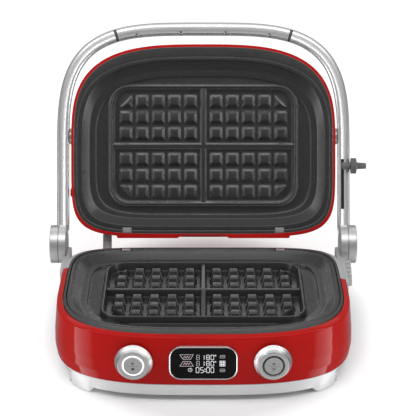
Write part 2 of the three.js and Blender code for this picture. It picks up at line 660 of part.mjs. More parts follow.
const leverAlong = (from, to, radius, radiusTo = radius) =>
  rod('x', from, to, radius, [0, -LEVER_REACH, 0.5], radiusTo, 20);
const leverFoot = box([179.6, -LEVER_REACH - 4, 0.5], [182.4, -LEVER_REACH + 4, ARM_RISE - 3]);
const lever = leverAlong(179.6, LEVER_X, 4.6)
  .add(leverAlong(LEVER_X - 0.5, 198, 10.5, 9.8))
  .add(leverAlong(197.5, 211, 4.6, 3.8))
  .add(leverFoot);
add(lidSide, 'height_lever', lever, darkPlastic);

// The origin is the bottom centre of the whole object's bounding box.
product.updateMatrixWorld(true);
const extent = new THREE.Box3().setFromObject(product, true);
const centre = extent.getCenter(V3(0, 0, 0));
product.position.set(-centre.x, -centre.y, -extent.min.z);

export default product;
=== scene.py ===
"""Waffle maker: the looks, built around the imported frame.

The functions work in millimetres: X to the right, -Y towards the user, Z up, X = 0 on the symmetry plane.
Pieces of the base stand as they are. Pieces of the lid and the bail are built with the lid closed, about
the hinge axis, and their place turns them open. Everything is placed from the frame's hinge joint.
"""
import json
import math

import bmesh
import bpy
import numpy as np
from mathutils import Matrix, Vector

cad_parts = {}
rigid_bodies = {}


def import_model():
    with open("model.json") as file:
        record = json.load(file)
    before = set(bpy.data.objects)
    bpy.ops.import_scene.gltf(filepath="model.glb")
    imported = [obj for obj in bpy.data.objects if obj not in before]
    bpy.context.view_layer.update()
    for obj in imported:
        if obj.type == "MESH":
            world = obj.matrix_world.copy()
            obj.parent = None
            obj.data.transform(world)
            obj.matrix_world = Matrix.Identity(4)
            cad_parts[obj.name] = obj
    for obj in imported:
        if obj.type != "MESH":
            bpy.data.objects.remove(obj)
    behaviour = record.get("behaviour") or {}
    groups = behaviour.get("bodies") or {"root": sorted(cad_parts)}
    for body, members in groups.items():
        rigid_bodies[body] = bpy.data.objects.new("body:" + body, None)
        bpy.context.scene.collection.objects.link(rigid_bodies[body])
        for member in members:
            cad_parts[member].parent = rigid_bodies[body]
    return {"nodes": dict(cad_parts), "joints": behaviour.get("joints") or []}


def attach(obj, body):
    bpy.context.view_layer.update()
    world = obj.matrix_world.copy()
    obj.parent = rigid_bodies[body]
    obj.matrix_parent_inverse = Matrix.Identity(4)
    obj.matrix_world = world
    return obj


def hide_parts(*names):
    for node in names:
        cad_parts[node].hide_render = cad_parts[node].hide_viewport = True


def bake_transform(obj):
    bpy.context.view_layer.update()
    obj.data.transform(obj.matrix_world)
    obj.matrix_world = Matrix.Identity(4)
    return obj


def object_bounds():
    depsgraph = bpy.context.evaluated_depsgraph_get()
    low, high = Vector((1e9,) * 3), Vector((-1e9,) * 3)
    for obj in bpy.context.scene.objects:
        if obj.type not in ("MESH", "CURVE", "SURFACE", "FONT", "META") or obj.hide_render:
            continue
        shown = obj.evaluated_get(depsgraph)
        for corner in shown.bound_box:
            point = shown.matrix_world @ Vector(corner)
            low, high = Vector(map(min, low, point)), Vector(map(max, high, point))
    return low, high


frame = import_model()
CAD_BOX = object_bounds()

# ---- driving sizes, millimetres
RIM_Z = 83.0                 # plate frame above the table
HUB_Y, HUB_Z = 134.0, 82.0   # hinge axis
LID_RIM_Z = 5.0              # lid rim plane above the hinge axis, lid closed
HALF, FRONT, REAR = 168.2, 121.6, 120.5   # plate outline
WIDEST_Y = 4.0
FRONT_POWER, REAR_POWER = 3.15, 6.1
BRACKET_FRONT = {-1: 59.0, 1: 28.0}       # where the corner covers begin, left and right
CORNER_X = 150.0
PITCH, FIRST_COLUMN, FIRST_ROW, GRID_Y = 21.1, 16.7, 16.8, 6.7
RIDGE_Y = GRID_Y - 1
POCKET_FLOOR = -14.0
ARM_X, ARM_RISE = 182.8, 13.0
ARCH_CENTRE, ARCH_REACH, ARCH_POWER = 106.7, 173.3, 3.7
GRIP_HALF = 113.0
HUB_RADIUS = 24.5
HUB_INNER_X, HUB_SEAM_X = 176.5, 186.4
PIVOT_REACH, PIVOT_RISE = 140.4, 16.5
LEVER_REACH, LEVER_TRAVEL = 101.3, 49.0
DIAL_X, DIAL_Z, DIAL_BASE_Y, DIAL_SPLAY = 79.5, 51.8, -131.6, 2.5
DISPLAY_Z = 51.6
LID_DEPTH = 76.0
DISPLAY_HALF, DISPLAY_CORNER = (39.3, 21.0), 14.0
GLASS_FRONT = 134.4          # distance of the display glass in front of X = Y = 0
SCREW_X = (-86, -29, 29, 86)
SCREW_LEAN, SCREW_OUT = 42, 8.9   # degrees round the grip, and distance from its centre line
RELEASE = (-70.0, 57.0)      # X and Z of the base's release button
LID_RELEASE_Y = -67          # the lid's own, on its left side
CONDUIT = (-125.7, 58.0)     # X and Z where the lead leaves the base
FEET = ((143.0, -86.0), (125.0, 109.0))
CLIP_X = 99.0
SIDES = (("right", 1), ("left", -1))

# ---- the frame
JOINTS = {j["name"]: j for j in frame["joints"]}
HINGE = Vector(JOINTS["bail_hinge"]["pos_m"])
OPEN_ANGLE = math.radians(-min(JOINTS["bail_hinge"]["range_deg"]))
MM = 0.001
BASE = Matrix.Translation(HINGE) @ Matrix.Scale(MM, 4) @ Matrix.Translation((0, -HUB_Y, -HUB_Z))
CLOSED = Matrix.Translation(HINGE) @ Matrix.Rotation(-OPEN_ANGLE, 4, "X") @ Matrix.Scale(MM, 4)
PLATE_LOW = BASE @ Matrix.Translation((0, 0, RIM_Z))
PLATE_HIGH = CLOSED @ Matrix.Translation((0, -HUB_Y, LID_RIM_Z)) @ Matrix.Rotation(math.pi, 4, "Y")
LID = CLOSED @ Matrix.Translation((0, -HUB_Y, LID_RIM_Z))
TURNED_X = Matrix.Rotation(math.pi / 2, 4, "Y")     # a spun profile's axis along X
OUT_FRONT = Matrix.Rotation(math.pi / 2, 4, "X")    # a spun profile's axis along -Y
OUT_BACK = Matrix.Rotation(-math.pi / 2, 4, "X")    # a spun profile's axis along +Y


def at(x, y, z):
    return Matrix.Translation((x, y, z))


def mirror(side):
    """Maps the right-hand side of the machine onto a side, 1 or -1."""
    return Matrix.Scale(side, 4, (1, 0, 0))


def on_back(x, z):
    """Places a spun profile on the rear wall, its heights along +Y."""
    return at(x, 0, z) @ OUT_BACK


# ---- outlines
def unit_radius(angle, power):
    """Radius of the unit superellipse |x|^n + |y|^n = 1 in a direction."""
    return (abs(math.cos(angle)) ** power + abs(math.sin(angle)) ** power) ** (-1 / power)


def travelled(points):
    """Length covered along a line, at each of its points."""
    return np.concatenate([[0], np.cumsum(np.linalg.norm(np.diff(points, axis=0), axis=1))])


def outline_angles(count, breaks):
    """Directions, evenly spaced along the plate outline, from the front centre round the right and back."""
    fine = np.linspace(-math.pi / 2, math.pi / 2, 4001)
    points = outline_points(fine)
    length = travelled(points)
    even = np.interp(np.linspace(0, length[-1], count // 2 + 1), length, fine)
    marks = []
    for axis, value in breaks:
        column = points[:, axis]
        side = fine > 0 if axis == 0 else np.ones_like(fine, bool)
        marks.append(fine[side][np.argmin(np.abs(column[side] - value))])
    keep = [a for a in even[1:-1] if min(abs(a - m) for m in marks) > 0.004]
    right = np.array(sorted([even[0], *keep, *marks, even[-1]]))
    return np.concatenate([right, (math.pi - right[1:-1])[::-1]])


def half_outline(behind, front, rear):
    """Reach from the widest place and power of the outline's rear half, or of its front half."""
    return (rear - WIDEST_Y, REAR_POWER) if behind > 0 else (front + WIDEST_Y, FRONT_POWER)


def outline_points(angles, half=HALF, front=FRONT, rear=REAR):
    out = []
    for a in angles:
        c, s = math.cos(a), math.sin(a)
        reach, power = half_outline(s, front, rear)
        r = unit_radius(a, power)
        out.append((half * r * c, WIDEST_Y + reach * r * s))
    return np.array(out)


ANGLES = outline_angles(232, [(1, BRACKET_FRONT[1]), (1, BRACKET_FRONT[-1]), (0, CORNER_X)])


def ring(z, half, front, rear):
    """One loop of the plate outline's shape at height z."""
    flat = outline_points(ANGLES, half, front, rear)
    return [(x, y, z) for x, y in flat]


def rounded_rect(half_x, half_y, radius, steps=6):
    points = []
    for k, (sx, sy) in enumerate(((1, 1), (-1, 1), (-1, -1), (1, -1))):
        for i in range(steps + 1):
            t = math.pi / 2 * (k + i / steps)
            points.append((sx * (half_x - radius) + radius * math.cos(t),
                           sy * (half_y - radius) + radius * math.sin(t)))
    return points


def rect_ray(angle, half_x, half_y, radius):
    """The point of a rounded rectangle in a direction from its centre."""
    c, s = math.cos(angle), math.sin(angle)
    reach = min(half_x / max(abs(c), 1e-9), half_y / max(abs(s), 1e-9))
    x, y = reach * c, reach * s
    cx, cy = half_x - radius, half_y - radius
    if abs(x) > cx and abs(y) > cy:
        px, py = math.copysign(cx, c), math.copysign(cy, s)
        along = px * c + py * s
        reach = along + math.sqrt(max(along * along - (px * px + py * py - radius * radius), 0))
        x, y = reach * c, reach * s
    return x, y


def soften(points, cut, steps=3):
    """Replaces each inner corner of a profile by a short curve that starts cut before it."""
    points = [np.array(p, float) for p in points]
    out = [points[0]]
    for before, corner, after in zip(points, points[1:], points[2:]):
        legs = [before - corner, after - corner]
        sizes = [np.linalg.norm(leg[:2]) for leg in legs]
        a, b = (corner + leg * min(cut / max(size, 1e-9), 0.48) for leg, size in zip(legs, sizes))
        for i in range(steps + 1):
            t = i / steps
            out.append((1 - t) ** 2 * a + 2 * t * (1 - t) * corner + t * t * b)
    out.append(points[-1])
    return [tuple(p) for p in out]


def soften_loop(points, cut, steps=3):
    """Rounds every corner of a closed flat outline."""
    middle = tuple((a + b) / 2 for a, b in zip(points[-1], points[0]))
    return soften([middle, *points, middle], cut, steps)[:-1]


def circle(radius, sides=48):
    return [(radius * math.cos(2 * math.pi * i / sides), radius * math.sin(2 * math.pi * i / sides))
            for i in range(sides)]


def softened(low, high, edge):
    """(height, inset) pairs of a slab whose lower and upper edges are softened."""
    return ((low, edge), (low + edge * 0.3, edge * 0.3), (low + edge, 0),
            (high - edge, 0), (high - edge * 0.3, edge * 0.3), (high, edge))


# ---- meshes
class Solid:
    """Points and faces that grow by lofts. UVs are lengths in metres, along the loft and around it."""

    def __init__(self):
        self.points, self.faces, self.uvs = [], [], []

    def loft(self, rings, closed=True, caps=(True, True), loop=False):
        """Skins a row of equal loops; closed joins each loop's ends, loop the last loop to the first."""
        count = len(rings[0])
        start = len(self.points)
        arrays = [np.array(r, float) for r in rings]
        for r in arrays:
            self.points.extend(map(tuple, r))
        around = travelled([*arrays[0], arrays[0][0]])
        gaps = [np.linalg.norm(b - a, axis=1).mean() for a, b in zip(arrays, arrays[1:])]
        along = np.concatenate([[0], np.cumsum(gaps)])
        rows = len(rings)
        for r in range(rows if loop else rows - 1):
            after = (r + 1) % rows
            for i in range(count if closed else count - 1):
                j = (i + 1) % count
                self.faces.append([start + r * count + i, start + r * count + j,
                                   start + after * count + j, start + after * count + i])
                v0, v1 = along[r], along[min(r + 1, rows - 1)]
                u0, u1 = around[i], around[i + 1]
                corners = ((v0, u0), (v0, u1), (v1, u1), (v1, u0))
                self.uvs.append([(v * MM, u * MM) for v, u in corners])
        if not loop:
            for row, cap in ((0, caps[0]), (rows - 1, caps[1])):
                if cap:
                    face = [start + row * count + i for i in range(count)]
                    self.faces.append(face if row else face[::-1])
                    self.uvs.append([(self.points[k][0] * MM, self.points[k][1] * MM) for k in face])
        return self

    def spin(self, profile, sides=64, matrix=Matrix.Identity(4), loop=False):
        """Turns a (height, radius) profile about Z, then places it; loop joins its two ends."""
        rings = []
        for height, radius in profile:
            points = [matrix @ Vector((x, y, height)) for x, y in circle(max(radius, 0.01), sides)]
            rings.append([tuple(p) for p in points])
        return self.loft(rings, loop=loop)

    def block(self, low, high, matrix=Matrix.Identity(4), round_by=0.6):
        """A box with softened edges along its height."""
        centre = [(a + b) / 2 for a, b in zip(low, high)]
        hx, hy = (high[0] - low[0]) / 2, (high[1] - low[1]) / 2
        edge = min(round_by, hx * 0.9, hy * 0.9, (high[2] - low[2]) * 0.45)
        rings = []
        for z, inset in softened(low[2], high[2], edge):
            flat = rounded_rect(hx - inset, hy - inset, max(edge - inset, 0.02), 3)
            rings.append([tuple(matrix @ Vector((x + centre[0], y + centre[1], z))) for x, y in flat])
        return self.loft(rings)

    def slab(self, flat, low, high, matrix=Matrix.Identity(4), edge=0.5):
        """A flat outline, given thickness, with its edges softened towards its middle."""
        middle = np.mean(np.array(flat), axis=0)
        rings = []
        for z, inset in softened(low, high, edge):
            loop = []
            for p in flat:
                out = np.array(p) - middle
                out = out * (1 - inset / max(np.linalg.norm(out), 1e-6))
                loop.append(tuple(matrix @ Vector((*(middle + out), z))))
            rings.append(loop)
        return self.loft(rings)

    def tube(self, path, section, normal=(0, 0, 1), swell=None):
        """Sweeps a section along a path in a plane; the section's x is across, its y stands on the plane.
        swell scales the section at each point of the path."""
        path = [Vector(p) for p in path]
        normal = Vector(normal).normalized()
        rings = []
        for i, p in enumerate(path):
            ahead = path[min(i + 1, len(path) - 1)] - path[max(i - 1, 0)]
            across = ahead.normalized().cross(normal).normalized()
            size = swell[i] if swell else 1.0
            rings.append([tuple(p + (across * x + normal * y) * size) for x, y in section])
        return self.loft(rings)


def rod(low, high, radius, sides=40, place=Matrix.Identity(4)):
    return Solid().spin([(low, radius), (high, radius)], sides, place)


def scene_object(name, data):
    made = bpy.data.objects.new(name, data)
    bpy.context.scene.collection.objects.link(made)
    return made


def mesh_object(name, points, faces):
    mesh = bpy.data.meshes.new(name)
    mesh.from_pydata(points, [], faces)
    return scene_object(name, mesh)


def placed(solid, place):
    return [tuple(place @ Vector(p)) for p in solid.points]


def piece(name, solid, place, body, slot, replaces=(), sharp=32, material=None, blend=None):
    """A Blender object from a solid: placed, smoothed, on its body, standing for its CAD nodes."""
    obj = mesh_object(name, placed(solid, place), solid.faces)
    layer = obj.data.uv_layers.new(name="Length")
    for loop, uv in zip(layer.data, (uv for face in solid.uvs for uv in face)):
        loop.uv = uv
    finish_mesh(obj, sharp)
    obj.data.materials.append(material or MATERIALS[slot])
    if blend:
        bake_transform(obj)
    else:
        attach(obj, body)
    if replaces:
        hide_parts(*replaces)
    return obj


def smooth(obj, sharp):
    """Smooth shading that keeps edges sharper than an angle."""
    obj.data.shade_smooth()
    obj.data.set_sharp_from_angle(angle=math.radians(sharp))


def finish_mesh(obj, sharp):
    """Faces turned outwards, doubles merged, smooth shading with true edges kept."""
    bm = bmesh.new()
    bm.from_mesh(obj.data)
    bmesh.ops.remove_doubles(bm, verts=bm.verts, dist=1e-6)
    bmesh.ops.recalc_face_normals(bm, faces=bm.faces)
    bm.to_mesh(obj.data)
    bm.free()
    smooth(obj, sharp)


def combine(obj, tools, place, operation="DIFFERENCE", sharp=32):
    """Cuts solids out of a piece, or joins them to it, and deletes them."""
    for solid in tools:
        tool = mesh_object("tool", placed(solid, place), solid.faces)
        tool.data.materials.append(obj.data.materials[0])
        finish_mesh(tool, sharp)
        cut = obj.modifiers.new("combine", "BOOLEAN")
        cut.object = tool
        cut.operation = operation
        cut.solver = "MANIFOLD"
        bpy.context.view_layer.update()
        graph = bpy.context.evaluated_depsgraph_get()
        result = bpy.data.meshes.new_from_object(obj.evaluated_get(graph))
        obj.modifiers.clear()
        old = obj.data
        obj.data = result
        bpy.data.meshes.remove(old)
        bpy.data.objects.remove(tool)
    smooth(obj, sharp)


# ---- materials
NOISE_SPAN = (0.3, 0.7)      # the part of the noise's range that is put to use


def new_material(name, colour, roughness, metallic=0.0, **sockets):
    """A Principled material with its constant values on the shader's own sockets."""
    material = bpy.data.materials.new(name)
    material.use_nodes = True
    shader = principled(material)
    shader.inputs["Base Color"].default_value = (*colour, 1)
    shader.inputs["Roughness"].default_value = roughness
    shader.inputs["Metallic"].default_value = metallic
    for socket, value in sockets.items():
        shader.inputs[socket.replace("_", " ")].default_value = value
    return material


def principled(material):
    return material.node_tree.nodes["Principled BSDF"]


def node(owner, kind, **values):
    """Adds a node; values set its inputs by name, or its properties where no input has the name."""
    made = owner.node_tree.nodes.new(kind)
    for key, value in values.items():
        socket = made.inputs.get(key.replace("_", " "))
        if socket is None:
            setattr(made, key, value)
        else:
            socket.default_value = value
    return made


def link(owner, source, target):
    owner.node_tree.links.new(source, target)


def fed(owner, kind, feeds, **values):
    """Adds a node, links outputs into the inputs that feeds names, and gives back its first output."""
    made = node(owner, kind, **values)
    for name, source in feeds.items():
        link(owner, source, made.inputs[name])
    return made.outputs[0]


def ramp(owner, source, stops):
    """A colour ramp through (position, colour) stops; a plain number is a grey."""
    made = node(owner, "ShaderNodeValToRGB")
    elements = made.color_ramp.elements
    while len(elements) < len(stops):
        elements.new(0.5)
    for element, (position, colour) in zip(elements, stops):
        element.position = position
        element.color = (*(colour if isinstance(colour, tuple) else (colour,) * 3), 1)
    link(owner, source, made.inputs["Fac"])
    return made.outputs["Color"]


def noise(material, scale, detail=3.0, stretch=(1, 1, 1), space="Object"):
    """A noise texture in object space or along the piece's own lengths."""
    where = node(material, "ShaderNodeTexCoord").outputs[space]
    stretched = fed(material, "ShaderNodeMapping", {"Vector": where}, Scale=stretch)
    return fed(material, "ShaderNodeTexNoise", {"Vector": stretched}, Scale=scale, Detail=detail)


def vary_colour(material, source, dark, light, start=NOISE_SPAN[0], stop=NOISE_SPAN[1]):
    """Mottles the base colour between two colours."""
    colour = ramp(material, source, ((start, dark), (stop, light)))
    link(material, colour, principled(material).inputs["Base Color"])


def vary_roughness(material, source, low, high):
    """Lets a noise move the roughness between two values."""
    spread = fed(material, "ShaderNodeMapRange", {"Value": source}, From_Min=NOISE_SPAN[0],
                 From_Max=NOISE_SPAN[1], To_Min=low, To_Max=high)
    link(material, spread, principled(material).inputs["Roughness"])


def add_bump(material, source, distance_mm, strength):
    bump = fed(material, "ShaderNodeBump", {"Height": source}, Strength=strength, Distance=distance_mm * MM)
    link(material, bump, principled(material).inputs["Normal"])


def vary(material, mottle, gloss, grain):
    """Varies colour, roughness and surface; each is a noise's (scale, detail) and then what it moves."""
    changes = ((vary_colour, mottle), (vary_roughness, gloss), (add_bump, grain))
    for change, (scale, detail, *values) in changes:
        change(material, noise(material, scale, detail), *values)
    return material


def grey(value):
    return (value, value, value * 1.01)


def red_gloss():
    """Deep red enamel under a clear gloss, with a faint orange peel."""
    m = new_material("red_gloss", (0.35, 0.005, 0.0035), 0.06, Specular_IOR_Level=0.14)
    return vary(m, (9, 2, (0.335, 0.0045, 0.0035), (0.375, 0.007, 0.0055)), (45, 4, 0.045, 0.08),
                (300, 2, 0.004, 0.4))


def satin_paint(name, light, roughness, metallic):
    """Silver paint: fine flake in the colour, a slight grain in the surface."""
    m = new_material(name, grey(light), roughness, metallic, Coat_Weight=0.15, Coat_Roughness=0.25)
    return vary(m, (1500, 2, grey(light * 0.86), grey(light * 1.05)),
                (60, 4, roughness - 0.06, roughness + 0.06), (900, 3, 0.02, 0.5))


def moulded(name, light, roughness, grain=0.02, scale=1400):
    """Moulded plastic: an even colour with slight clouding and a fine spark-eroded grain."""
    m = new_material(name, grey(light), roughness)
    return vary(m, (30, 4, grey(light * 0.88), grey(light * 1.1)),
                (120, 5, roughness - 0.07, roughness + 0.07), (scale, 3, grain, 0.6))


def nonstick():
    """Non-stick coating: dark grey, a fine fleck, a soft sheen and the slight waviness of a die casting."""
    m = new_material("nonstick", grey(0.016), 0.28, 0.0, Specular_IOR_Level=0.55)
    return vary(m, (1700, 2, grey(0.011), grey(0.021), 0.35, 0.75), (90, 5, 0.25, 0.35),
                (1100, 4, 0.02, 0.5))


def brushed(name, along, light=0.80, roughness=0.28, metallic=0.93):
    """Brushed metal: streaks that follow one of the piece's own directions."""
    m = new_material(name, grey(light), roughness, metallic)
    stretch = (6, 900, 1) if along == "U" else (900, 6, 1)
    streaks = noise(m, 3.0, 5, stretch, "UV")
    vary_colour(m, streaks, grey(light * 0.88), grey(light * 1.04))
    vary_roughness(m, streaks, roughness - 0.06, roughness + 0.10)
    add_bump(m, streaks, 0.01, 0.6)
    return m


def metal(name, light, roughness, scale=80, bump=0.005):
    """Plain metal with slight handling marks in its gloss."""
    m = new_material(name, grey(light), roughness, 1.0)
    return vary(m, (scale / 4, 3, grey(light * 0.94), grey(light * 1.03)),
                (scale, 5, roughness * 0.75, roughness * 1.3), (scale * 8, 3, bump, 0.5))


def glass():
    """Black display glass with the faintest dust in its gloss."""
    m = new_material("display_glass", grey(0.004), 0.05, Specular_IOR_Level=0.08)
    vary_roughness(m, noise(m, 300, 4), 0.03, 0.09)
    vary_colour(m, noise(m, 12, 2), grey(0.003), grey(0.006))
    return m


def glowing(name, colour, strength):
    """Lit segments and rings; the glow is slightly uneven, as a diffuser makes it."""
    m = new_material(name, (0.5, 0.5, 0.5), 0.5, Emission_Strength=strength)
    uneven = ramp(m, noise(m, 400, 2), ((0, tuple(c * 0.92 for c in colour)), (1, colour)))
    link(m, uneven, principled(m).inputs["Emission Color"])
    return m


def circuit_board():
    """Green board with sharp-edged lighter patches for its tracks."""
    m = new_material("circuit_board", (0.03, 0.14, 0.06), 0.4)
    vary_colour(m, noise(m, 250, 1), (0.02, 0.10, 0.04), (0.06, 0.2, 0.09), 0.48, 0.52)
    return m


MATERIALS = {
    "red_gloss": red_gloss(),
    "satin_silver": satin_paint("satin_silver", 0.66, 0.36, 0.1),
    "satin_silver_metal": satin_paint("satin_silver_metal", 0.52, 0.45, 0.1),
    "rubber": moulded("rubber", 0.018, 0.85, 0.05, 500),
    "charcoal_plastic": moulded("charcoal_plastic", 0.019, 0.36),
    "nonstick": nonstick(),
    "bright_sheet": metal("bright_sheet", 0.62, 0.28, 25),
    "element_steel": metal("element_steel", 0.42, 0.35),
    "grey_plastic": moulded("grey_plastic", 0.21, 0.4),
    "brushed_aluminium": brushed("brushed_aluminium", "U"),
    "pin_steel": metal("pin_steel", 0.45, 0.25),
    "chrome_trim": metal("chrome_trim", 0.78, 0.13, 40, 0.002),
    "display_glass": glass(),
    "dark_plastic": moulded("dark_plastic", 0.045, 0.45),
    "circuit_board": circuit_board(),
    "light_ring": glowing("light_ring", (1.0, 1.0, 1.0), 0.95),
    "black_plastic": moulded("black_plastic", 0.012, 0.5),
}
TURNED = brushed("turned_aluminium", "V", 0.66, 0.36, 1.0)
DIAL_METAL = metal("dial_metal", 0.62, 0.30, 40, 0.002)
BUTTON = satin_paint("button_aluminium", 0.34, 0.45, 0.3)
BOSS = metal("boss_metal", 0.42, 0.34)
LEVER = moulded("lever_plastic", 0.10, 0.42)
LIT = glowing("lit_segment", (0.66, 0.68, 0.71), 1.0)
LIT_RED = glowing("lit_red_segment", (0.24, 0.012, 0.012), 1.0)
GHOST = glowing("unlit_segment", (0.018, 0.018, 0.019), 1.0)
ICON_GREY = glowing("icon_grey", (0.22, 0.22, 0.23), 1.0)


# ---- base body
def grown(levels):
    """Loops of the plate outline, each grown by its level's [z, side, front, rear]."""
    return [ring(z, HALF + side, FRONT + front, REAR + rear) for z, side, front, rear in levels]


SHELL_OUTER = soften([
    (22, 9.4, 9, 4), (33, 11.1, 10.4, 4.6), (48, 10.7, 10.4, 4.8), (64, 9.2, 9, 4.8),
    (79.0, 7.8, 6.4, 4.6), (80.4, 7.3, 5.8, 4.3), (82.4, 2.0, 1.8, 1.6), (82.6, 0.8, 0.8, 0.8)], 0.8, 3)
SHELL_INNER = [
    (22, 7.2, 6.8, 1.8), (33, 8.7, 8.0, 2.2), (48, 8.3, 8.0, 2.4), (64, 6.8, 6.6, 2.4),
    (79.4, 5.2, 4.0, 2.0), (80.4, 0.8, 0.8, 0.8)]


def corner_index(side, axis, value):
    """The outline direction at which the outline passes a Y (axis 1) or, at the rear, an X (axis 0)."""
    points = outline_points(ANGLES)
    best = [i for i, (x, y) in enumerate(points) if x * side > 0 and (axis == 1 or y > 60)]
    return min(best, key=lambda i: abs(points[i][axis] - (value if axis else side * value)))


def arc(outer, inner, first, last, gap=0.2):
    """A wall that follows the outline from one direction to another, its ends drawn back by half a seam."""
    loops = [np.array(r) for r in grown(outer) + grown(inner)[::-1]]
    count = len(ANGLES)
    steps = (last - first) % count
    profiles = [[loop[(first + k) % count] for loop in loops] for k in range(steps + 1)]
    for end, beside in ((0, 1), (-1, -2)):
        for i, (p, q) in enumerate(zip(profiles[end], profiles[beside])):
            profiles[end][i] = p + (q - p) * gap / max(np.linalg.norm(q - p), 1e-6)
    return Solid().loft(profiles)


FASCIA_ENDS = (corner_index(-1, 1, BRACKET_FRONT[-1]), corner_index(1, 1, BRACKET_FRONT[1]))
REAR_ENDS = (corner_index(1, 0, CORNER_X), corner_index(-1, 0, CORNER_X))


# Maps a flat outline to the Y-Z plane, with its thickness along X.
ON_SIDE = Matrix(((0, 0, 1, 0), (1, 0, 0, 0), (0, 1, 0, 0), (0, 0, 0, 1)))


def display_flat(grow):
    return rounded_rect(DISPLAY_HALF[0] + grow, DISPLAY_HALF[1] + grow, DISPLAY_CORNER + grow, 10)


def facing_front(z):
    """Maps a flat outline in the X-Z plane, with thickness towards the user, to its place."""
    return Matrix(((1, 0, 0, 0), (0, 0, -1, 0), (0, 1, 0, z), (0, 0, 0, 1)))


def on_dial(side):
    """Places a spun profile on a dial's axis, its heights towards the user."""
    splay = Matrix.Rotation(math.radians(side * DIAL_SPLAY), 4, "Z")
    return at(side * DIAL_X, DIAL_BASE_Y, DIAL_Z) @ splay @ OUT_FRONT


def build_fascia():
    fascia = piece("base_fascia", arc(SHELL_OUTER, SHELL_INNER, *FASCIA_ENDS), BASE, "base", "red_gloss",
                   ("base_shell",))
    window = Solid().slab(display_flat(-3), 100, 150, facing_front(DISPLAY_Z), 0.01)
    holes = [rod(-30, 12, 9, 40, on_dial(side)) for side in (-1, 1)]
    combine(fascia, [window, *holes], BASE)


def build_rear_cover():
    cover = piece("rear_cover_panel", arc(SHELL_OUTER, SHELL_INNER, *REAR_ENDS), BASE, "base", "red_gloss",
                  ("rear_cover",))
    inlet = Solid().block((57.6, 100, 29.6), (94.4, 140, 58.4), round_by=1.5)
    holes = [rod(100, 140, radius, 40, on_back(*spot)) for spot, radius in ((RELEASE, 6.5), (CONDUIT, 6.8))]
    slots = [Solid().block((-40 + 7 * i, 110, 34), (-37 + 7 * i, 135, 50), round_by=1.4) for i in range(12)]
    combine(cover, [inlet, *holes, *slots], BASE)


def web_profile(front_y):
    corners = [(front_y, 44), (132, 44), (145, 58), (145, 74), (120, 75), (front_y + 20, 77), (front_y, 76)]
    return soften_loop(corners, 4, 4)


def build_bracket(side):
    """A silver corner of the body with the web out to its hub; the right one carries the stepped rack."""
    name = "right" if side > 0 else "left"
    ends = (FASCIA_ENDS[1], REAR_ENDS[0]) if side > 0 else (REAR_ENDS[1], FASCIA_ENDS[0])
    thin = [(z, s - 0.4, f - 0.4, r - 0.4) for z, s, f, r in SHELL_OUTER]
    bracket = piece(f"hinge_casting_{name}", arc(thin, SHELL_INNER, *ends), BASE, "base",
                    "satin_silver_metal", (f"hinge_bracket_{name}",))
    web = Solid().slab(web_profile(BRACKET_FRONT[side] + 4), 171.5, 180, mirror(side) @ ON_SIDE, 1.4)
    combine(bracket, [web], BASE, "UNION")
    if side > 0:
        stairs = [(66, 54)]
        for i in range(5):
            stairs += [(66 + 6 * i, 64 + 3 * i), (72 + 6 * i, 64 + 3 * i)]
        stairs += [(96, 54)]
        rack = Solid().slab(soften_loop(stairs, 0.5, 2), 178, 187.5, ON_SIDE, 0.25)
        combine(bracket, [rack], BASE, "UNION")
    hub_axis = mirror(side) @ at(0, HUB_Y, HUB_Z) @ TURNED_X
    combine(bracket, [rod(HUB_INNER_X - 0.4, 205, HUB_RADIUS + 0.4, 72, hub_axis)], BASE)


def build_pan():
    """Silver skirt, floor and the four foot blocks in one moulding, with vents below."""
    skirt = soften([(8.3, 2.2, 1.3, -3.2), (8.5, 3.0, 2.2, -2.4), (21.0, 4.8, 4.4, 1.0),
                    (21.8, 4.2, 3.8, 0.4)], 0.6, 2)
    inner = [(21.8, 2.4, 1.8, -1.4), (11, 1.0, 0.2, -4.3)]
    solid = Solid().loft(grown([(8.3, 3, 2, -3), *skirt, *inner]))
    pan = piece("bottom_moulding", solid, BASE, "base", "satin_silver", ("bottom_pan",))
    blocks = []
    trim = [(1.2, 3.8, 2.0, -3.0), (2.0, 4.2, 2.6, -2.6), (10.6, 4.8, 3.0, -2.0)]
    for x_side in (-1, 1):
        for x, y in FEET:
            centre_x = x_side * (x + 4)
            centre_y = y - 6 if y < 0 else y - 2
            rings = []
            for level, (z, *grow) in enumerate([(1.0, 6.8, 5.2, 0), *trim]):
                inset = (2.6, 2.0, 1.4, 0)[level]
                flat = rounded_rect(15 - inset, 17 - inset, 5, 5)
                limit = HALF + grow[0], FRONT + grow[1], REAR + grow[2]
                rings.append([inside_outline(px + centre_x, py + centre_y, z, *limit) for px, py in flat])
            blocks.append(Solid().loft(rings))
    combine(pan, blocks, BASE, "UNION")
    sockets = [rod(-1, 4, 8.4, 40, at(s * x, y, 0)) for s in (-1, 1) for x, y in FEET]
    vents = [Solid().block((14 * i - 2, -30, 5), (14 * i + 2, 40, 14), round_by=1.8) for i in range(-4, 5)]
    combine(pan, sockets + vents, BASE)


APRON_END_X = 156
APRON_LOW, FOOT_LOW = 7.4, 1.2
FOOT_INNER_X, FOOT_SLOPE = 129.0, 4.0


def apron_bottom(x):
    """Lower edge of the front apron: it drops to the table at each foot, with a sloping inner side."""
    drop = min(max((abs(x) - FOOT_INNER_X) / FOOT_SLOPE, 0), 1)
    return APRON_LOW - (APRON_LOW - FOOT_LOW) * drop


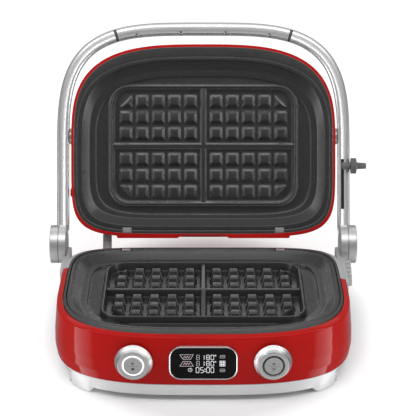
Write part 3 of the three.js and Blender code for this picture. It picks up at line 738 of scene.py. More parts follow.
def build_apron():
    """Front panel of the skirt with its two feet; it stands a little in front of the skirt behind it."""
    flat = outline_points(ANGLES, HALF + 9.8, FRONT + 8.2, REAR)
    kept = [(x, angle) for (x, y), angle in zip(flat, ANGLES) if y < 0 and abs(x) < APRON_END_X]
    profiles = []
    for x, angle in sorted(kept):
        low = apron_bottom(x)
        levels = soften([(low, 5.0, 3.4), (low, 9.4, 7.8), (21.0, 10.4, 8.8), (21.7, 9.6, 8.0),
                         (21.7, 5.0, 3.4)], 0.5, 2)
        profiles.append([(*outline_points([angle], HALF + side, FRONT + front)[0], z)
                         for z, side, front in levels])
    piece("front_apron", Solid().loft(profiles), BASE, "base", "satin_silver")


def inside_outline(x, y, z, half, front, rear):
    """The point itself, or where it would leave the outline, the outline's edge on its way in."""
    reach, power = half_outline(y - WIDEST_Y, front, rear)
    size = (abs(x / half) ** power + abs((y - WIDEST_Y) / reach) ** power) ** (1 / power)
    scale = 1 / max(size, 1)
    return (x * scale, WIDEST_Y + (y - WIDEST_Y) * scale, z)


def build_feet():
    profile = [(0.8, 0.01), (0.8, 2.6), (0.3, 3.0), (0.3, 5.6), (0.2, 6.2), (0, 6.8), (0.4, 7.8), (1.2, 8),
               (3.7, 8), (3.7, 0.01)]
    for end, (x, y) in zip(("front", "rear"), FEET):
        for hand, side in SIDES[::-1]:
            pad = Solid().spin(profile, 48, at(side * x, y, 0))
            piece(f"foot_pad_{end}_{hand}", pad, BASE, "base", "rubber", (f"rubber_foot_{end}_{hand}",))


# ---- plates
SIDE_STEPS = (0, 0.07, 0.2, 0.5, 0.8, 0.93)
CELL_LEVELS = (  # height, half width, corner radius
    (-14.0, 9.0, 2.2), (-13.85, 8.55, 2.1), (-13.4, 8.15, 2.0), (-12.7, 7.9, 1.9),
    (-6.9, 5.35, 1.3), (-6.45, 5.15, 1.2), (-6.12, 4.85, 1.1), (-6.0, 4.45, 1.0))
# A corner cell is cut where X + Y, from its centre, passes CUT_LIMIT at a half width of CUT_WALL.
CUT_WALL, CUT_LIMIT, CUT_SLOPE = 7.9, 0.4, 1.4


def cell_square(x, y):
    half = PITCH / 2
    corners = [(half, half), (-half, half), (-half, -half), (half, -half)]
    loop = []
    for (ax, ay), (bx, by) in zip(corners, corners[1:] + corners[:1]):
        loop += [(x + ax + (bx - ax) * f, y + ay + (by - ay) * f, POCKET_FLOOR) for f in SIDE_STEPS]
    return loop


def cell_loop(x, y, z, half, radius, cut=None):
    """A rounded square around a cell; cut = (X side, Y side) takes off its corner at the pocket's bend."""
    loop = []
    for k in range(4):
        corner = math.pi / 4 + k * math.pi / 2
        ends = []
        for turn, angles in ((corner, (0, 22.5, 45)), (corner + math.pi / 2, (-45, -22.5))):
            cx = math.copysign(half - radius, math.cos(turn))
            cy = math.copysign(half - radius, math.sin(turn))
            ends.append([(cx + radius * math.cos(turn + math.radians(a)),
                          cy + radius * math.sin(turn + math.radians(a))) for a in angles])
        first, second = ends
        middle = tuple((a + b) / 2 for a, b in zip(first[-1], second[0]))
        loop += [*first, middle, *second]
    if cut:
        limit = (half - CUT_WALL) * CUT_SLOPE + CUT_LIMIT
        loop = even_loop([shave(px, py, cut, limit) for px, py in loop])
    return [(x + px, y + py, z) for px, py in loop]


def even_loop(loop):
    """As many points along the same closed line, evenly spaced, from the same start."""
    closed = np.array([*loop, loop[0]])
    length = travelled(closed)
    even = np.linspace(0, length[-1], len(loop), endpoint=False)
    return list(zip(np.interp(even, length, closed[:, 0]), np.interp(even, length, closed[:, 1])))


def shave(x, y, cut, limit):
    """The point itself, or where it lies beyond the cut, its foot on the cut."""
    over = (x * cut[0] + y * cut[1] - limit) / 2
    return (x - cut[0] * over, y - cut[1] * over) if over > 0 else (x, y)


POCKET_CORNER = (114.6, 71.2, 19)   # half sizes and corner radius of the pocket's floor


def inside_pocket(x, y, z):
    """Draws a floor point in from the pocket's rounded corner."""
    ex, ey = rect_ray(math.atan2(y - RIDGE_Y, x), *POCKET_CORNER)
    if x * x + (y - RIDGE_Y) ** 2 > ex * ex + ey * ey:
        return (ex, ey + RIDGE_Y, z)
    return (x, y, z)


def plate_solid():
    """The whole plate as one closed skin: cells, floor, ridge, dish, rim and underside."""
    solid = Solid()
    columns = [side * (FIRST_COLUMN + PITCH * c) for side in (-1, 1) for c in range(5)]
    rows = [GRID_Y + half * (FIRST_ROW + PITCH * r) for half in (-1, 1) for r in range(3)]
    for x in columns:
        for y in rows:
            corner = abs(x) > 100 and abs(y - GRID_Y) > 55
            cut = (math.copysign(1, x), math.copysign(1, y - GRID_Y)) if corner else None
            square = [inside_pocket(*p) for p in cell_square(x, y)]
            loops = [cell_loop(x, y, z, half, radius, cut) for z, half, radius in CELL_LEVELS]
            solid.loft([square, *loops], caps=(False, True))
    xs = lattice(columns, PITCH / 2)
    ys = lattice(rows, PITCH / 2)
    inner_x, inner_y = FIRST_COLUMN - PITCH / 2, FIRST_ROW - PITCH / 2
    strips = [[[(x, y) for y in ys] for x in (-inner_x, inner_x)]]
    for side in (-1, 1):
        row = [x for x in xs if x * side >= inner_x - 0.01]
        strips.append([[(x, GRID_Y + y) for x in row] for y in (-inner_y, inner_y)])
    for strip in strips:
        solid.loft([[inside_pocket(x, y, POCKET_FLOOR) for x, y in line] for line in strip], closed=False,
                   caps=(False, False))
    edge = [(xs[-1], y) for y in ys[:-1]] + [(x, ys[-1]) for x in xs[:0:-1]]
    edge += [(xs[0], y) for y in ys[:0:-1]] + [(x, ys[0]) for x in xs[:-1]]
    edge = [inside_pocket(x, y, POCKET_FLOOR) for x, y in edge]
    rays = [math.atan2(y - RIDGE_Y, x) for x, y, _ in edge]
    ridge = soften([(-14, 113.5, 70.0, 18), (-14, 116.1, 72.7, 20), (-3.0, 118.6, 75.1, 22),
                    (-3.0, 121.3, 77.6, 24), (-12, 123.0, 79.3, 26), (-12, 127, 82.4, 30)], 1.5, 4)[1:]
    rings = [edge]
    for z, *shape in ridge[:-1]:
        rings.append([(px, py + RIDGE_Y, z) for px, py in (rect_ray(a, *shape) for a in rays)])
    dish = soften([(-12, 136, 81.8, 92.8), (-12, 139.9, 84.2, 95.2), (-9.1, 140.5, 84.8, 95.8),
                   (-9.0, 148.4, 91.8, 101.3), (-1.6, 157.0, 104, 109.8), (-0.5, 158.0, 105.2, 110.8),
                   (-0.5, 164.6, 109.4, 116.4), (-4.0, 164.6, 109.4, 116.4), (-4.0, 160, 107.5, 112),
                   (-12, 148, 92, 102), (-14.6, 142, 87, 97), (-16.6, 126, 78, 90)], 1.1, 3)
    for z, half, front, rear in dish:
        rings.append([outline_ray(x, y, z, half, front, rear) for x, y, _ in edge])
    return solid.loft(rings, caps=(False, True))


def lattice(centres, half):
    """The lattice lines through a row of cells, left to right."""
    low = [c - half for c in centres]
    lines = {round(start + 2 * half * f, 5) for start in low for f in (*SIDE_STEPS, 1)}
    return sorted(lines)


PLATE_REAR, PLATE_FRONT = 118.0, 125.0   # reaches that spread the rays evenly round the outline


def outline_ray(x, y, z, half, front, rear):
    """The point of a grown outline in the direction of (x, y), seen from the plate's middle."""
    reach, power = half_outline(y - WIDEST_Y, front, rear)
    angle = math.atan2((y - WIDEST_Y) / (PLATE_REAR if y > WIDEST_Y else PLATE_FRONT), x / HALF)
    r = unit_radius(angle, power)
    return (half * r * math.cos(angle), WIDEST_Y + reach * r * math.sin(angle), z)


def divider(half_x, half_y, centre_y, thin):
    """A wall of the waffle cross, with a foot that flows into the floor and a rounded top."""
    rings = []
    for z, width in ((-15, 5.2), (-14.2, 4.9), (-13.8, 4.2), (-13.2, 3.8), (-12.4, 3.55), (-5.3, 2.4),
                     (-4.8, 2.2), (-4.5, 1.7)):
        hx, hy = (half_x, width) if thin == "y" else (width, half_y)
        rings.append([(x, y + centre_y, z) for x, y in rounded_rect(hx, hy, 0.6, 3)])
    return Solid().loft(rings)


def notches():
    return [Solid().block((x - 6.5, 112, -8), (x + 6.5, 125, 3), round_by=0.8) for x in (-CLIP_X, CLIP_X)]


def build_plate(name, place, body):
    plate = piece(f"{name}_waffle_plate", plate_solid(), place, body, "nonstick", (f"{name}_plate",), 40)
    walls = [divider(117.6, 0, GRID_Y, "y"), divider(0, 74.3, RIDGE_Y, "x")]
    combine(plate, walls, place, "UNION", 40)
    combine(plate, notches(), place, "DIFFERENCE", 40)


def build_plate_frame(name, place, body):
    levels = soften([(-14, -6, -6, -6), (-4.5, -6, -6, -6), (-4.5, 0, 0, 0), (0, 0, 0, 0),
                     (0, -3, -11.5, -3.5), (-4.3, -3, -11.5, -3.5), (-4.3, -8.6, -13, -8.6),
                     (-14, -8.6, -13, -8.6)], 0.5, 2)
    solid = Solid().loft(grown(levels), loop=True)
    rim = piece(f"{name}_frame_ring", solid, place, body, "charcoal_plastic", (f"{name}_plate_frame",))
    combine(rim, notches(), place)


def build_clips(name, place, body):
    """Catches at the hinge side that hold the plate down: a post, a hooked tab and a thumb rib."""
    hook = [(117.0, -6.9), (119.2, -6.9), (119.2, -0.6), (112.8, -0.9), (112.6, -2.4), (117.0, -3.4)]
    for hand, side in SIDES:
        x = side * CLIP_X if name == "lower" else -side * CLIP_X
        solid = Solid().slab(soften_loop(hook, 0.5, 2), x - 5.5, x + 5.5, ON_SIDE, 0.3)
        piece(f"{name}_catch_{hand}", solid, place, body, "grey_plastic", (f"{name}_clip_{hand}",))


# ---- lid
LID_LEVELS = [(0, 3.6, 4, 4.4), (6, 4, 4.2, 4.6), (26, 3, 3, 3.6), (46, -1.5, -1.5, -0.5),
              (61, -10, -9.5, -8.5), (71, -23, -20, -19), (LID_DEPTH, -48, -40, -38)]
LID_WALL = 2.6
ON_PIVOT = at(0, -PIVOT_REACH, PIVOT_RISE) @ TURNED_X
ON_LID_RELEASE = at(0, LID_RELEASE_Y, PIVOT_RISE) @ TURNED_X
CONDUIT_RIB = 2.4
CONDUIT_PATH = ((118, 58), (126, 58), (136, 59.5), (146, 64), (153.5, 71), (157.5, 79), (161, 88.5))


def build_lid():
    """Red lid: a thin rim, upright walls and a domed back, with an arched notch at the hinge side."""
    crest = LID_LEVELS[-1]
    outer = soften([(0, 3.0, 3.4, 3.8), (0.2, 3.6, 4, 4.4), *LID_LEVELS[1:]], 14, 5)
    inner = [(z - LID_WALL, side - LID_WALL, front - LID_WALL, rear - LID_WALL) for z, side, front, rear in
             soften(LID_LEVELS[1:], 14, 5)][::-1]
    crown = [(crest[0], -60, -50, -48), (crest[0], -110, -85, -82)]
    solid = Solid().loft(grown([*inner, (0, 0.4, 0.4, 0.4), *outer, *crown]))
    lid = piece("lid_housing", solid, LID, "lid", "red_gloss", ("lid_shell",))
    bosses = [rod(150, 195, 11, 56, mirror(side) @ ON_PIVOT) for side in (-1, 1)]
    release = rod(-195, -150, 6.5, 40, ON_LID_RELEASE)
    notch = Solid().block((-29, -11.4, 0), (29, -2, LID_RIM_Z + 3), round_by=3)
    lip = soften_loop([(27, -13), (113, -13), (112, -7.4), (33, -7.4)], 1.5, 3)
    lips = [Solid().slab([(side * x, y) for x, y in lip], LID_RIM_Z - 0.1, LID_RIM_Z + 11, edge=0.9)
            for side in (-1, 1)]
    combine(lid, lips, CLOSED, "UNION")
    combine(lid, [*bosses, release, notch], CLOSED)
    combine(lid, [conduit_tube(swell=1.6)], BASE)


def conduit_tube(swell=None):
    """The conduit's route; with a swell it is the hole the lid leaves for it, which goes on further in."""
    route = (*CONDUIT_PATH, (164, 98)) if swell else CONDUIT_PATH
    points = [Vector((CONDUIT[0], y, z)) for y, z in route]
    path = []
    for i in range(len(points) - 1):
        p0, p1, p2, p3 = (points[min(max(k, 0), len(points) - 1)] for k in (i - 1, i, i + 1, i + 2))
        for k in range(14):
            t = k / 14
            path.append(0.5 * (2 * p1 + (p2 - p0) * t + (2 * p0 - 5 * p1 + 4 * p2 - p3) * t * t
                               + (3 * p1 - p0 - 3 * p2 + p3) * t ** 3))
    path.append(points[-1])
    done, sizes = 0.0, []
    for i, p in enumerate(path):
        done += (p - path[i - 1]).length if i else 0
        sizes.append(swell or 0.93 + 0.025 * math.cos(done * 2 * math.pi / CONDUIT_RIB))
    return Solid().tube(path, circle(6.2, 32), (1, 0, 0), sizes)


def build_lid_fittings():
    teeth = [(r * math.cos(a), r * math.sin(a)) for a, r in
             ((2 * math.pi * i / 88, 10.5 if i % 4 < 2 else 9.5) for i in range(88))]
    for hand, side in SIDES:
        place = mirror(side) @ ON_PIVOT
        boss = piece(f"lid_boss_{hand}", Solid().slab(teeth, 168.4, 174.5, place, 0.3), CLOSED, "lid",
                     "dark_plastic", (f"pivot_boss_{hand}",), material=BOSS)
        combine(boss, [rod(160, 180, 4.4, 48, place)], CLOSED)
    cap = [(-173.4, 0.01), (-173.4, 4.2), (-173.2, 5.0), (-172.6, 5.7), (-166, 6)]
    piece("lid_release", Solid().spin(cap, 40, ON_LID_RELEASE), CLOSED, "upper_release_button", "red_gloss",
          ("upper_release_button",))


# ---- bail and hubs
GRIP_SWELL = 1.07
ARM_SECTION = [(8.0 * math.copysign(abs(math.cos(t)) ** (2 / 2.8), math.cos(t)),
                7.5 * math.copysign(abs(math.sin(t)) ** (2 / 2.8), math.sin(t)))
               for t in (2 * math.pi * i / 48 for i in range(48))]


def arch_path(from_x, to_x, count):
    """Evenly spaced points on the bail's centre line between two X places, round its front."""
    fine = []
    for i in range(4001):
        t = math.pi * i / 4000
        c, s = math.cos(t), math.sin(t)
        x = ARM_X * math.copysign(abs(c) ** (2 / ARCH_POWER), c)
        y = -(ARCH_CENTRE + ARCH_REACH * abs(s) ** (2 / ARCH_POWER))
        if min(from_x, to_x) - 1e-6 <= x <= max(from_x, to_x) + 1e-6:
            fine.append((x, y, ARM_RISE))
    fine = np.array(fine)
    length = travelled(fine)
    even = np.linspace(0, length[-1], count)
    return [tuple(np.interp(even, length, fine[:, k])[i] for k in range(3)) for i in range(count)]


def build_bail():
    arch = arch_path(ARM_X, GRIP_HALF + 1.9, 90)
    straight = [(ARM_X, -14 - 4.6 * i, ARM_RISE) for i in range(21) if 14 + 4.6 * i < ARCH_CENTRE - 1]
    swell = [1.0] * len(straight) + [1 + (GRIP_SWELL - 1) * (i / 89) ** 2 for i in range(90)]
    section = [(x * 0.96 * GRIP_SWELL, y * 0.96 * GRIP_SWELL) for x, y in ARM_SECTION]
    slot_back, slot_front = -LEVER_REACH - 9, -LEVER_REACH + LEVER_TRAVEL + 7
    for hand, side in SIDES:
        place = CLOSED @ mirror(side)
        solid = Solid().tube(straight + arch, ARM_SECTION, swell=swell)
        arm = piece(f"bail_side_{hand}", solid, place, "bail", "brushed_aluminium",
                    (f"bail_arm_{hand}",), 40)
        tools = [rod(160, HUB_SEAM_X, HUB_RADIUS + 0.5, 96, TURNED_X), rod(160, ARM_X, 4.4, 32, ON_PIVOT)]
        if side > 0:
            tools.append(Solid().block((179.0, slot_back, 0), (183.0, slot_front, 11)))
            liner = Solid().block((179.1, slot_back + 0.1, 8.2), (182.9, slot_front - 0.1, 10.9))
            piece("lever_slot", liner, CLOSED, "bail", "black_plastic")
        combine(arm, tools, place, sharp=40)
        seam = arch_path(GRIP_HALF + 2.4, GRIP_HALF - 2.0, 4)
        piece(f"grip_joint_{hand}", Solid().tube(seam, section), place, "bail", "dark_plastic",
              (f"grip_seam_{hand}",), 40)
    path = arch_path(GRIP_HALF - 1.5, 1.5 - GRIP_HALF, 120)
    grip = Solid().tube(path, ARM_SECTION, swell=[GRIP_SWELL] * len(path))
    handle = piece("bail_grip", grip, CLOSED, "bail", "brushed_aluminium", ("handle_grip",), 40)
    combine(handle, [rod(-3.0, 2, 2.6, 28, on_grip(x)) for x in SCREW_X], CLOSED, sharp=40)
    head = [(-3.2, 2.3), (-0.5, 2.3), (-0.2, 2.3 * 0.8), (-0.8, 0.9), (-0.9, 0.01)]
    for i, x in enumerate(SCREW_X, 1):
        piece(f"grip_fixing_{i}", Solid().spin(head, 28, on_grip(x)), CLOSED, "bail", "pin_steel",
              (f"grip_screw_{i}",))


def on_grip(x):
    """Places a screw on the grip's inner edge, where it faces the user when the lid is open."""
    centre = arch_path(x + 4, x - 4, 3)[1]
    lean = Matrix.Rotation(math.radians(180 - SCREW_LEAN), 4, "X")
    return at(centre[0], centre[1], ARM_RISE) @ Matrix.Scale(-1, 4, (0, 1, 0)) @ lean @ at(0, 0, SCREW_OUT)


def build_hubs():
    fixed = [(176.5, 0.01), (176.5, 20.4), (176.9, 20.7), (176.9, 21.3), (176.5, 21.6), (176.5, 23.8),
             (176.7, 24.2), (177.1, 24.5), (186.0, 24.5), (186.2, 24.2), (186.2, 0.01)]
    turning = [(186.6, 0.01), (186.6, 24.2), (186.8, 24.5), (196.2, 24.5), (196.8, 24.3), (197.1, 23.8),
               (197.1, 21.0), (196.7, 20.6), (196.3, 20.3), (196.3, 9.6), (196.7, 9.2), (196.7, 0.01)]
    for hand, side in SIDES:
        place = CLOSED @ mirror(side) @ TURNED_X
        piece(f"hub_fixed_{hand}", Solid().spin(fixed, 128), place, "base", "brushed_aluminium",
              (f"hub_ring_{hand}",), material=TURNED)
        piece(f"hub_turning_{hand}", Solid().spin(turning, 128), place, "bail", "brushed_aluminium",
              (f"hub_drum_{hand}",), material=TURNED)


def build_lever():
    """Height lever: shaft, ribbed flange and a tapered tip, all turned about the same axis."""
    flange = [(191.0, 9.6), (191.4, 10.5)]
    for x in (192.4, 194.2, 196.0):
        flange += [(x, 10.4), (x + 0.3, 9.9), (x + 0.8, 9.9), (x + 1.1, 10.3)]
    tip = [(198.0, 9.4), (198.2, 5.2), (198.8, 4.7)]
    for x in (200.5, 203.5, 206.5):
        taper = (x - 198) * 0.06
        groove = ((0, 4.7), (0.3, 4.2), (1.0, 4.2), (1.3, 4.6))
        tip += [(x + step, radius - taper) for step, radius in groove]
    tip += [(210.2, 3.9), (210.8, 3.4), (211, 2.6), (211, 0.01)]
    shaft = [(179.6, 0.01), (179.6, 4.2), (180.0, 4.6), (191.0, 4.6)]
    place = at(0, -LEVER_REACH, 0.5) @ TURNED_X
    piece("height_stop_lever", Solid().spin(shaft + flange + tip, 56, place), CLOSED, "height_lever",
          "dark_plastic", ("height_lever",), material=LEVER)


# ---- controls
def build_dials():
    knob = [(0, 7.4), (0, 21.5), (0.4, 21.9), (1.6, 21.7), (2.2, 21.2), (4.2, 20.4), (4.9, 19.6),
            (9.0, 18.0), (9.6, 17.6), (9.9, 17.0), (9.9, 13.6), (9.7, 13.1), (9.3, 12.8), (6.0, 12.8),
            (6.0, 7.4)]
    light = [(6.3, 11.0), (6.3, 12.4), (9.1, 12.4), (9.3, 12.2), (9.3, 11.1), (9.1, 11.0)]
    button = [(7.4, 0.01), (7.4, 10.2), (7.6, 10.5), (10.2, 10.5), (10.5, 10.3), (10.6, 9.9), (10.45, 8.8),
              (10.4, 0.01)]
    for hand, side in SIDES:
        place = BASE @ on_dial(side)
        piece(f"dial_knob_{hand}", Solid().spin(knob, 128, loop=True), place, f"dial_{hand}",
              "chrome_trim", (f"dial_{hand}",), 28, material=DIAL_METAL)
        lit = side < 0
        piece(f"dial_glow_{hand}", Solid().spin(light, 96, loop=True), place, "base",
              "light_ring" if lit else "dark_plastic", (f"dial_light_ring_{hand}",))
        piece(f"dial_push_{hand}", Solid().spin(button, 96), place, f"dial_button_{hand}",
              "brushed_aluminium", (f"dial_button_{hand}",), material=BUTTON)
        marks = Solid()
        for flat in START_MARKS if lit else MENU_MARKS:
            marks.slab(flat, *BUTTON_FACE, edge=0.02)
        piece(f"dial_marks_{hand}", marks, place, f"dial_button_{hand}", "dark_plastic")


def bar(x0, y0, x1, y1):
    return [(x0, y0), (x1, y0), (x1, y1), (x0, y1)]


DIVIDING_LINE = bar(-6.5, -0.12, 6.5, 0.12)
START_MARKS = [DIVIDING_LINE, [(-1.4, 1.6), (1.8, 3.5), (-1.4, 5.4)], bar(-1.6, -5.2, 1.6, -2.0)]
MENU_MARKS = [DIVIDING_LINE, [(-2.0, 2.2), (2.0, 2.2), (0.0, 5.0)], bar(-2.0, -2.6, 2.0, -2.1),
              bar(-2.0, -3.8, 2.0, -3.3), bar(-2.0, -5.0, 2.0, -4.5)]
SEGMENTS = {"0": "abcdef", "1": "bc", "5": "afgcd", "8": "abcdefg"}
BUTTON_FACE = (10.39, 10.47)        # the signs' thickness on the button's face
GLASS_FACE = (GLASS_FRONT + 0.02, GLASS_FRONT + 0.08)


def on_glass(solid, flat):
    solid.slab(flat, *GLASS_FACE, facing_front(0), 0.01)


def digit(solid, char, x, z, width, height, stroke=0.5):
    """A seven-segment figure whose lower left corner is at (x, z)."""
    half, mid = stroke / 2, height / 2
    left, right, low, high = x + half, x + width - half, z + half, z + height - half
    lines = {"a": ((left, high), (right, high)), "b": ((right, high), (right, z + mid)),
             "c": ((right, z + mid), (right, low)), "d": ((left, low), (right, low)),
             "e": ((left, z + mid), (left, low)), "f": ((left, high), (left, z + mid)),
             "g": ((left, z + mid), (right, z + mid))}
    for key in SEGMENTS[char]:
        (x0, z0), (x1, z1) = lines[key]
        length = math.hypot(x1 - x0, z1 - z0)
        dx, dz = (x1 - x0) / length, (z1 - z0) / length
        x0, z0, x1, z1 = x0 + dx * 0.12, z0 + dz * 0.12, x1 - dx * 0.12, z1 - dz * 0.12
        flat = [(x0, z0), (x0 + (dx - dz) * half, z0 + (dz + dx) * half),
                (x1 - (dx + dz) * half, z1 - (dz - dx) * half), (x1, z1),
                (x1 - (dx - dz) * half, z1 - (dz + dx) * half),
                (x0 + (dx + dz) * half, z0 + (dz - dx) * half)]
        on_glass(solid, flat)


def strokes(solid, points, width):
    """A drawn line: a thin bar along each leg of the points."""
    for (x0, z0), (x1, z1) in zip(points, points[1:]):
        length = math.hypot(x1 - x0, z1 - z0)
        dx, dz = (x1 - x0) / length * width / 2, (z1 - z0) / length * width / 2
        on_glass(solid, [(x0 - dx - dz, z0 - dz + dx), (x0 - dx + dz, z0 - dz - dx),
                         (x1 + dx + dz, z1 + dz - dx), (x1 + dx - dz, z1 + dz + dx)])


def box_line(solid, x0, z0, x1, z1, width):
    """A drawn rectangle's outline."""
    strokes(solid, [(x0, z0), (x1, z0), (x1, z1), (x0, z1), (x0, z0)], width)


def build_display():
    place = BASE @ facing_front(DISPLAY_Z)
    frame_levels = [(125, -0.2), (134.3, 0), (134.8, -0.2), (135.0, -0.6),
                    (134.9, -1.0), (134.6, -1.3), (133.2, -1.4), (133.2, -5), (125, -5)]
    rings = [[(x, z, y) for x, z in display_flat(grow)] for y, grow in frame_levels]
    piece("display_surround", Solid().loft(rings, loop=True), place, "base", "chrome_trim",
          ("display_bezel",))
    pane = [(125.5, -5.4), (133.6, -5.4), (133.6, -1.8), (GLASS_FRONT - 0.2, -1.6), (GLASS_FRONT, -1.8),
            (GLASS_FRONT, -14)]
    glass_solid = Solid().loft([[(x, z, y) for x, z in display_flat(grow)] for y, grow in pane])
    piece("display_window", glass_solid, place, "base", "display_glass", ("display_glass",))
    lit, ghost, outline_marks, heat = Solid(), Solid(), Solid(), Solid()
    for z in (56.0, 48.0):
        digit(lit, "1", -2.4, z, 3.6, 6.5)
        digit(lit, "8", 3.4, z, 3.7, 6.5)
        digit(lit, "0", 8.4, z, 3.7, 6.5)
        box_line(lit, 13.1, z + 5.0, 14.3, z + 6.2, 0.35)
        digit(ghost, "8", -7.9, z, 3.7, 6.5)
    for x, char in ((-8.5, "0"), (-3.5, "5"), (3.5, "0"), (8.4, "0")):
        digit(lit, char, x, 39.4, 3.8, 7.2)
    for z in (41.4, 44.2):
        strokes(lit, [(1.5, z), (2.3, z)], 0.8)
    for z_wide, z_narrow in ((62.7, 56.9), (48.0, 54.1)):
        tray = [(-26.7, z_wide), (-11.5, z_wide), (-14.6, z_narrow), (-23.2, z_narrow), (-26.7, z_wide)]
        strokes(outline_marks, tray, 0.4)
        low, high = sorted((z_wide * 0.7 + z_narrow * 0.3, z_wide * 0.25 + z_narrow * 0.75))
        wave = [(-22.6 + 1.5 * i, high if i % 2 else low) for i in range(6)]
        strokes(heat, wave, 0.5)
    dial_ring = [(-15 + 2.2 * math.cos(a), 43.2 + 2.2 * math.sin(a))
                 for a in (2 * math.pi * i / 20 for i in range(21))]
    strokes(lit, dial_ring, 0.35)
    strokes(lit, [(-15, 44.6), (-15, 43.2), (-14.0, 43.2)], 0.35)
    for i in range(4):
        strokes(lit, [(18.9, 48.2 + 2.1 * i), (24.7, 48.2 + 2.1 * i)], 0.5)
        strokes(lit, [(19.0 + 1.9 * i, 48.0), (19.0 + 1.9 * i, 54.7)], 0.5)
    for z in (60.2, 42.6):
        box_line(ghost, 19.2, z - 1.7, 24.5, z + 1.7, 0.45)
        strokes(ghost, [(19.2, z), (24.5, z)], 0.45)
    layers = (("display_lit", lit, LIT), ("display_ghost", ghost, GHOST),
              ("display_trays", outline_marks, ICON_GREY), ("display_heat", heat, LIT_RED))
    for name, solid, material in layers:
        piece(name, solid, BASE, "base", "light_ring", material=material)


# ---- rear
def build_rear_fittings():
    body = [(112, 18, 14, 3), (126.2, 18, 14, 3), (126.2, 19.4, 15.4, 3.6), (127.2, 19.4, 15.4, 3.6),
            (127.5, 19.1, 15.1, 3.4), (127.5, 15.2, 11.2, 2.2), (127.2, 15.0, 11.0, 2.0),
            (118, 15.0, 11.0, 2.0)]
    centre_x, centre_z = 76.0, 44.0
    rings = [[(x + centre_x, y, z + centre_z) for x, z in rounded_rect(*shape, 5)] for y, *shape in body]
    piece("mains_inlet", Solid().loft(rings), BASE, "base", "black_plastic", ("power_inlet",))
    pins = Solid()
    for x, z in ((centre_x - 7, centre_z - 1), (centre_x, centre_z + 3), (centre_x + 7, centre_z - 1)):
        pins.block((x - 1, 117, z - 2.2), (x + 1, 125.5, z + 2.2), round_by=0.5)
    piece("mains_pins", pins, BASE, "base", "pin_steel")
    cap = [(115, 0.01), (115, 6), (126.6, 6), (127.2, 5.6), (127.5, 4.9), (127.3, 3.5), (127.1, 0.01)]
    piece("base_release", Solid().spin(cap, 48, on_back(*RELEASE)), BASE, "lower_release_button",
          "dark_plastic", ("lower_release_button",))
    gland = [(124.3, 7.3), (124.3, 9.3), (124.6, 9.5), (127.4, 9.5), (127.8, 9.2), (129.6, 8.4), (130, 8.0),
             (130, 7.3)]
    piece("conduit_collar", Solid().spin(gland, 48, on_back(*CONDUIT), loop=True), BASE, "base",
          "dark_plastic", ("conduit_gland",))
    start = BASE @ Vector((CONDUIT[0], 130, 58))
    end = BASE @ Vector((CONDUIT[0], 158, 80))
    piece("lid_lead", conduit_tube(), BASE, ("base", "bail"), "grey_plastic", ("lid_conduit",),
          blend=(start, end))


KEPT_NODES = {
    "bright_sheet": ("lower_reflector", "upper_reflector"),
    "element_steel": ("lower_element", "upper_element", "lower_thermostat"),
    "dark_plastic": ("display_module", "dial_encoder_left", "dial_encoder_right"),
    "circuit_board": ("control_board",),
    "pin_steel": ("hinge_pin_left", "hinge_pin_right", "pivot_pin_left", "pivot_pin_right"),
}


def finish_kept_nodes():
    """The CAD nodes that no piece stands for keep their shape and get a material."""
    for slot, names in KEPT_NODES.items():
        for name in names:
            for material_slot in frame["nodes"][name].material_slots:
                material_slot.material = MATERIALS[slot]


# ---- floor, light and camera
# Bands of the surround as (height from -1 to 1, light), in front of the machine and behind it.
FRONT_BANDS = ((-1.0, 0.50), (-0.60, 0.66), (-0.27, 0.58), (0.0, 0.40), (0.22, 0.28), (0.42, 0.32),
               (0.60, 0.46), (0.85, 0.72), (1.0, 0.80))
BACK_BANDS = ((-1.0, 0.30), (-0.40, 0.30), (-0.15, 0.22), (0.10, 0.30), (0.6, 0.45), (1.0, 0.65))
# The strip on each side: (bearing in half turns from straight ahead, light), (height from 0 to 1, light).
SIDE_STRIP = ((0.0, 0), (0.305, 0), (0.33, 0.30), (0.455, 0.9), (0.485, 1), (0.492, 0))
STRIP_HEIGHT = ((0.0, 0), (0.04, 0), (0.08, 1), (0.47, 1), (0.50, 0))
STRIP_LIGHT = 5.4
# Painted glow of the floor, low near the machine so that the floor there is left darker as painted shade,
# as (stretched distance in metres, light).
PAINTED_FLOOR_GLOW = ((0.0, 0.0), (0.228, 0.02), (0.25, 0.18), (0.28, 0.42), (0.60, 0.44), (1.0, 0.55))
GLOW_STRETCH = (1.3, 0.94, 1)
FLOOR_REACH = 14.0           # metres
CAMERA_PLACE, CAMERA_TILT = (0, -1646, 865), 67.63
LENS, SENSOR, SHIFT_X = 129.8, 36, 0.0113


def area_light(name, place, aim, size, power):
    data = bpy.data.lights.new(name, "AREA")
    data.shape = "RECTANGLE"
    data.size, data.size_y = size
    data.energy = power
    light = scene_object(name, data)
    light.location = BASE @ Vector(place)
    toward = BASE @ Vector(aim) - light.location
    light.rotation_euler = toward.to_track_quat("-Z", "Y").to_euler()
    return light


def painted_floor_glow(paper):
    """Painted glow in the sweep of paper: it glows more and more with the distance from the machine, so the
    paper close to it is left darker as painted shade.
    """
    where = node(paper, "ShaderNodeTexCoord").outputs["Object"]
    narrowed = fed(paper, "ShaderNodeMapping", {"Vector": where}, Scale=GLOW_STRETCH)
    distance = node(paper, "ShaderNodeVectorMath", operation="LENGTH")
    link(paper, narrowed, distance.inputs[0])
    reach = fed(paper, "ShaderNodeMapRange", {"Value": distance.outputs["Value"]})
    link(paper, ramp(paper, reach, PAINTED_FLOOR_GLOW), principled(paper).inputs["Emission Color"])


def light_only(light, pieces, state):
    """Makes a light reach only some pieces, or all but them."""
    group = bpy.data.collections.new(f"{light.name}_receivers")
    for each in pieces:
        group.objects.link(each)
    light.light_linking.receiver_collection = group
    for member in group.collection_objects:
        member.light_linking.link_state = state


def feed(owner, source, target):
    """Links an output to an input, or sets a plain number on it."""
    if isinstance(source, float):
        target.default_value = source
    else:
        link(owner, source, target)


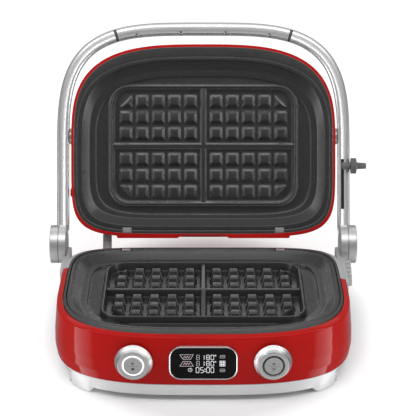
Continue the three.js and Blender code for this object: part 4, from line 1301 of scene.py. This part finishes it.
def mixed(owner, factor, first, second, blend="MIX"):
    """Mixes two colours; the node's colour sockets are its inputs 6 and 7 and its output 2."""
    made = node(owner, "ShaderNodeMix", data_type="RGBA", blend_type=blend)
    for socket, source in ((0, factor), (6, first), (7, second)):
        feed(owner, source, made.inputs[socket])
    return made.outputs[2]


def calc(owner, operation, *terms):
    """A calculation on outputs and numbers."""
    made = node(owner, "ShaderNodeMath", operation=operation)
    for socket, term in zip(made.inputs, terms):
        feed(owner, term, socket)
    return made.outputs[0]


def build_world():
    """Studio surround: bands of light and dark from below to above, one set in front and one behind, and a
    tall soft strip on each side."""
    world = bpy.data.worlds.new("studio")
    bpy.context.scene.world = world
    world.use_nodes = True
    where = node(world, "ShaderNodeTexCoord").outputs["Generated"]
    parts = node(world, "ShaderNodeSeparateXYZ")
    link(world, where, parts.inputs["Vector"])
    x, y, z = parts.outputs
    height = fed(world, "ShaderNodeMapRange", {"Value": z}, From_Min=-1.0)
    behind = fed(world, "ShaderNodeMapRange", {"Value": y}, interpolation_type="SMOOTHSTEP", From_Min=-0.02,
                 From_Max=0.40)
    bearing = calc(world, "ARCTAN2", calc(world, "ABSOLUTE", x), calc(world, "MULTIPLY", y, -1.0))
    strip = ramp(world, calc(world, "DIVIDE", bearing, math.pi), SIDE_STRIP)
    lit = calc(world, "MULTIPLY", strip, ramp(world, height, STRIP_HEIGHT))
    lit = calc(world, "MULTIPLY", lit, STRIP_LIGHT)
    front, back = (ramp(world, height, [((level + 1) / 2, light) for level, light in bands])
                   for bands in (FRONT_BANDS, BACK_BANDS))
    colour = mixed(world, behind, mixed(world, 1.0, front, lit, "ADD"), back)
    link(world, colour, world.node_tree.nodes["Background"].inputs["Color"])


def build_stage(bail, metal_pieces):
    low = CAD_BOX[0][2] - 0.0002
    corners = [(x * FLOOR_REACH, y * FLOOR_REACH, low) for x, y in ((-1, -1), (1, -1), (1, 1), (-1, 1))]
    floor = mesh_object("floor", corners, [(0, 1, 2, 3)])
    # The paper's emission is a painted glow that grows with the distance from the machine.
    paper = new_material("paper", grey(0.72), 0.8, Emission_Strength=1.0)
    painted_floor_glow(paper)
    vary_colour(paper, noise(paper, 3, 2), grey(0.715), grey(0.725))
    floor.data.materials.append(paper)
    floor.visible_glossy = False
    build_world()
    area_light("front_top", (0, -780, 1900), (0, 0, 60), (2.6, 0.7), 14)
    back_box = area_light("back_top", (0, 1100, 1500), (0, 0, 100), (2.2, 0.7), 4)
    light_only(back_box, bail, "EXCLUDE")
    for side in (-1, 1):
        side_box = area_light(f"side_{side}", (side * 1300, -500, 900), (0, 0, 100), (0.4, 1.4), 9.5)
        light_only(side_box, metal_pieces, "EXCLUDE")
    card = area_light("front_card", (0, -1000, 620), (0, 0, 200), (0.30, 0.30), 1.3)
    card.visible_camera = False
    light_only(card, bail[:2], "INCLUDE")
    bpy.context.scene.view_settings.view_transform = "Standard"


def build_camera():
    data = bpy.data.cameras.new("camera")
    data.lens = LENS
    data.sensor_width = SENSOR
    data.shift_x = SHIFT_X
    camera = scene_object("camera", data)
    camera.location = BASE @ Vector(CAMERA_PLACE)
    camera.rotation_euler = (math.radians(CAMERA_TILT), 0, 0)
    data.clip_end = 60
    bpy.context.scene.camera = camera


build_camera()
build_fascia()
build_rear_cover()
build_bracket(1)
build_bracket(-1)
build_pan()
build_apron()
build_feet()
for plate_name, plate_place, plate_body, frame_body in (("lower", PLATE_LOW, "lower_plate", "base"),
                                                        ("upper", PLATE_HIGH, "upper_plate", "lid")):
    build_plate(plate_name, plate_place, plate_body)
    build_plate_frame(plate_name, plate_place, frame_body)
    build_clips(plate_name, plate_place, frame_body)
build_lid()
build_lid_fittings()
build_bail()
build_hubs()
build_lever()
build_dials()
build_display()
build_rear_fittings()
finish_kept_nodes()
pieces = bpy.data.objects
bail_pieces = [pieces[n] for n in ("bail_side_right", "bail_side_left", "bail_grip")]
silver = [pieces[f"{part}_{hand}"] for part in ("hinge_casting", "hub_fixed", "hub_turning")
          for hand in ("right", "left")]
build_stage(bail_pieces, bail_pieces + silver)
for hidden in ("lid_housing", "upper_frame_ring", "upper_waffle_plate"):
    pieces[hidden].visible_glossy = False
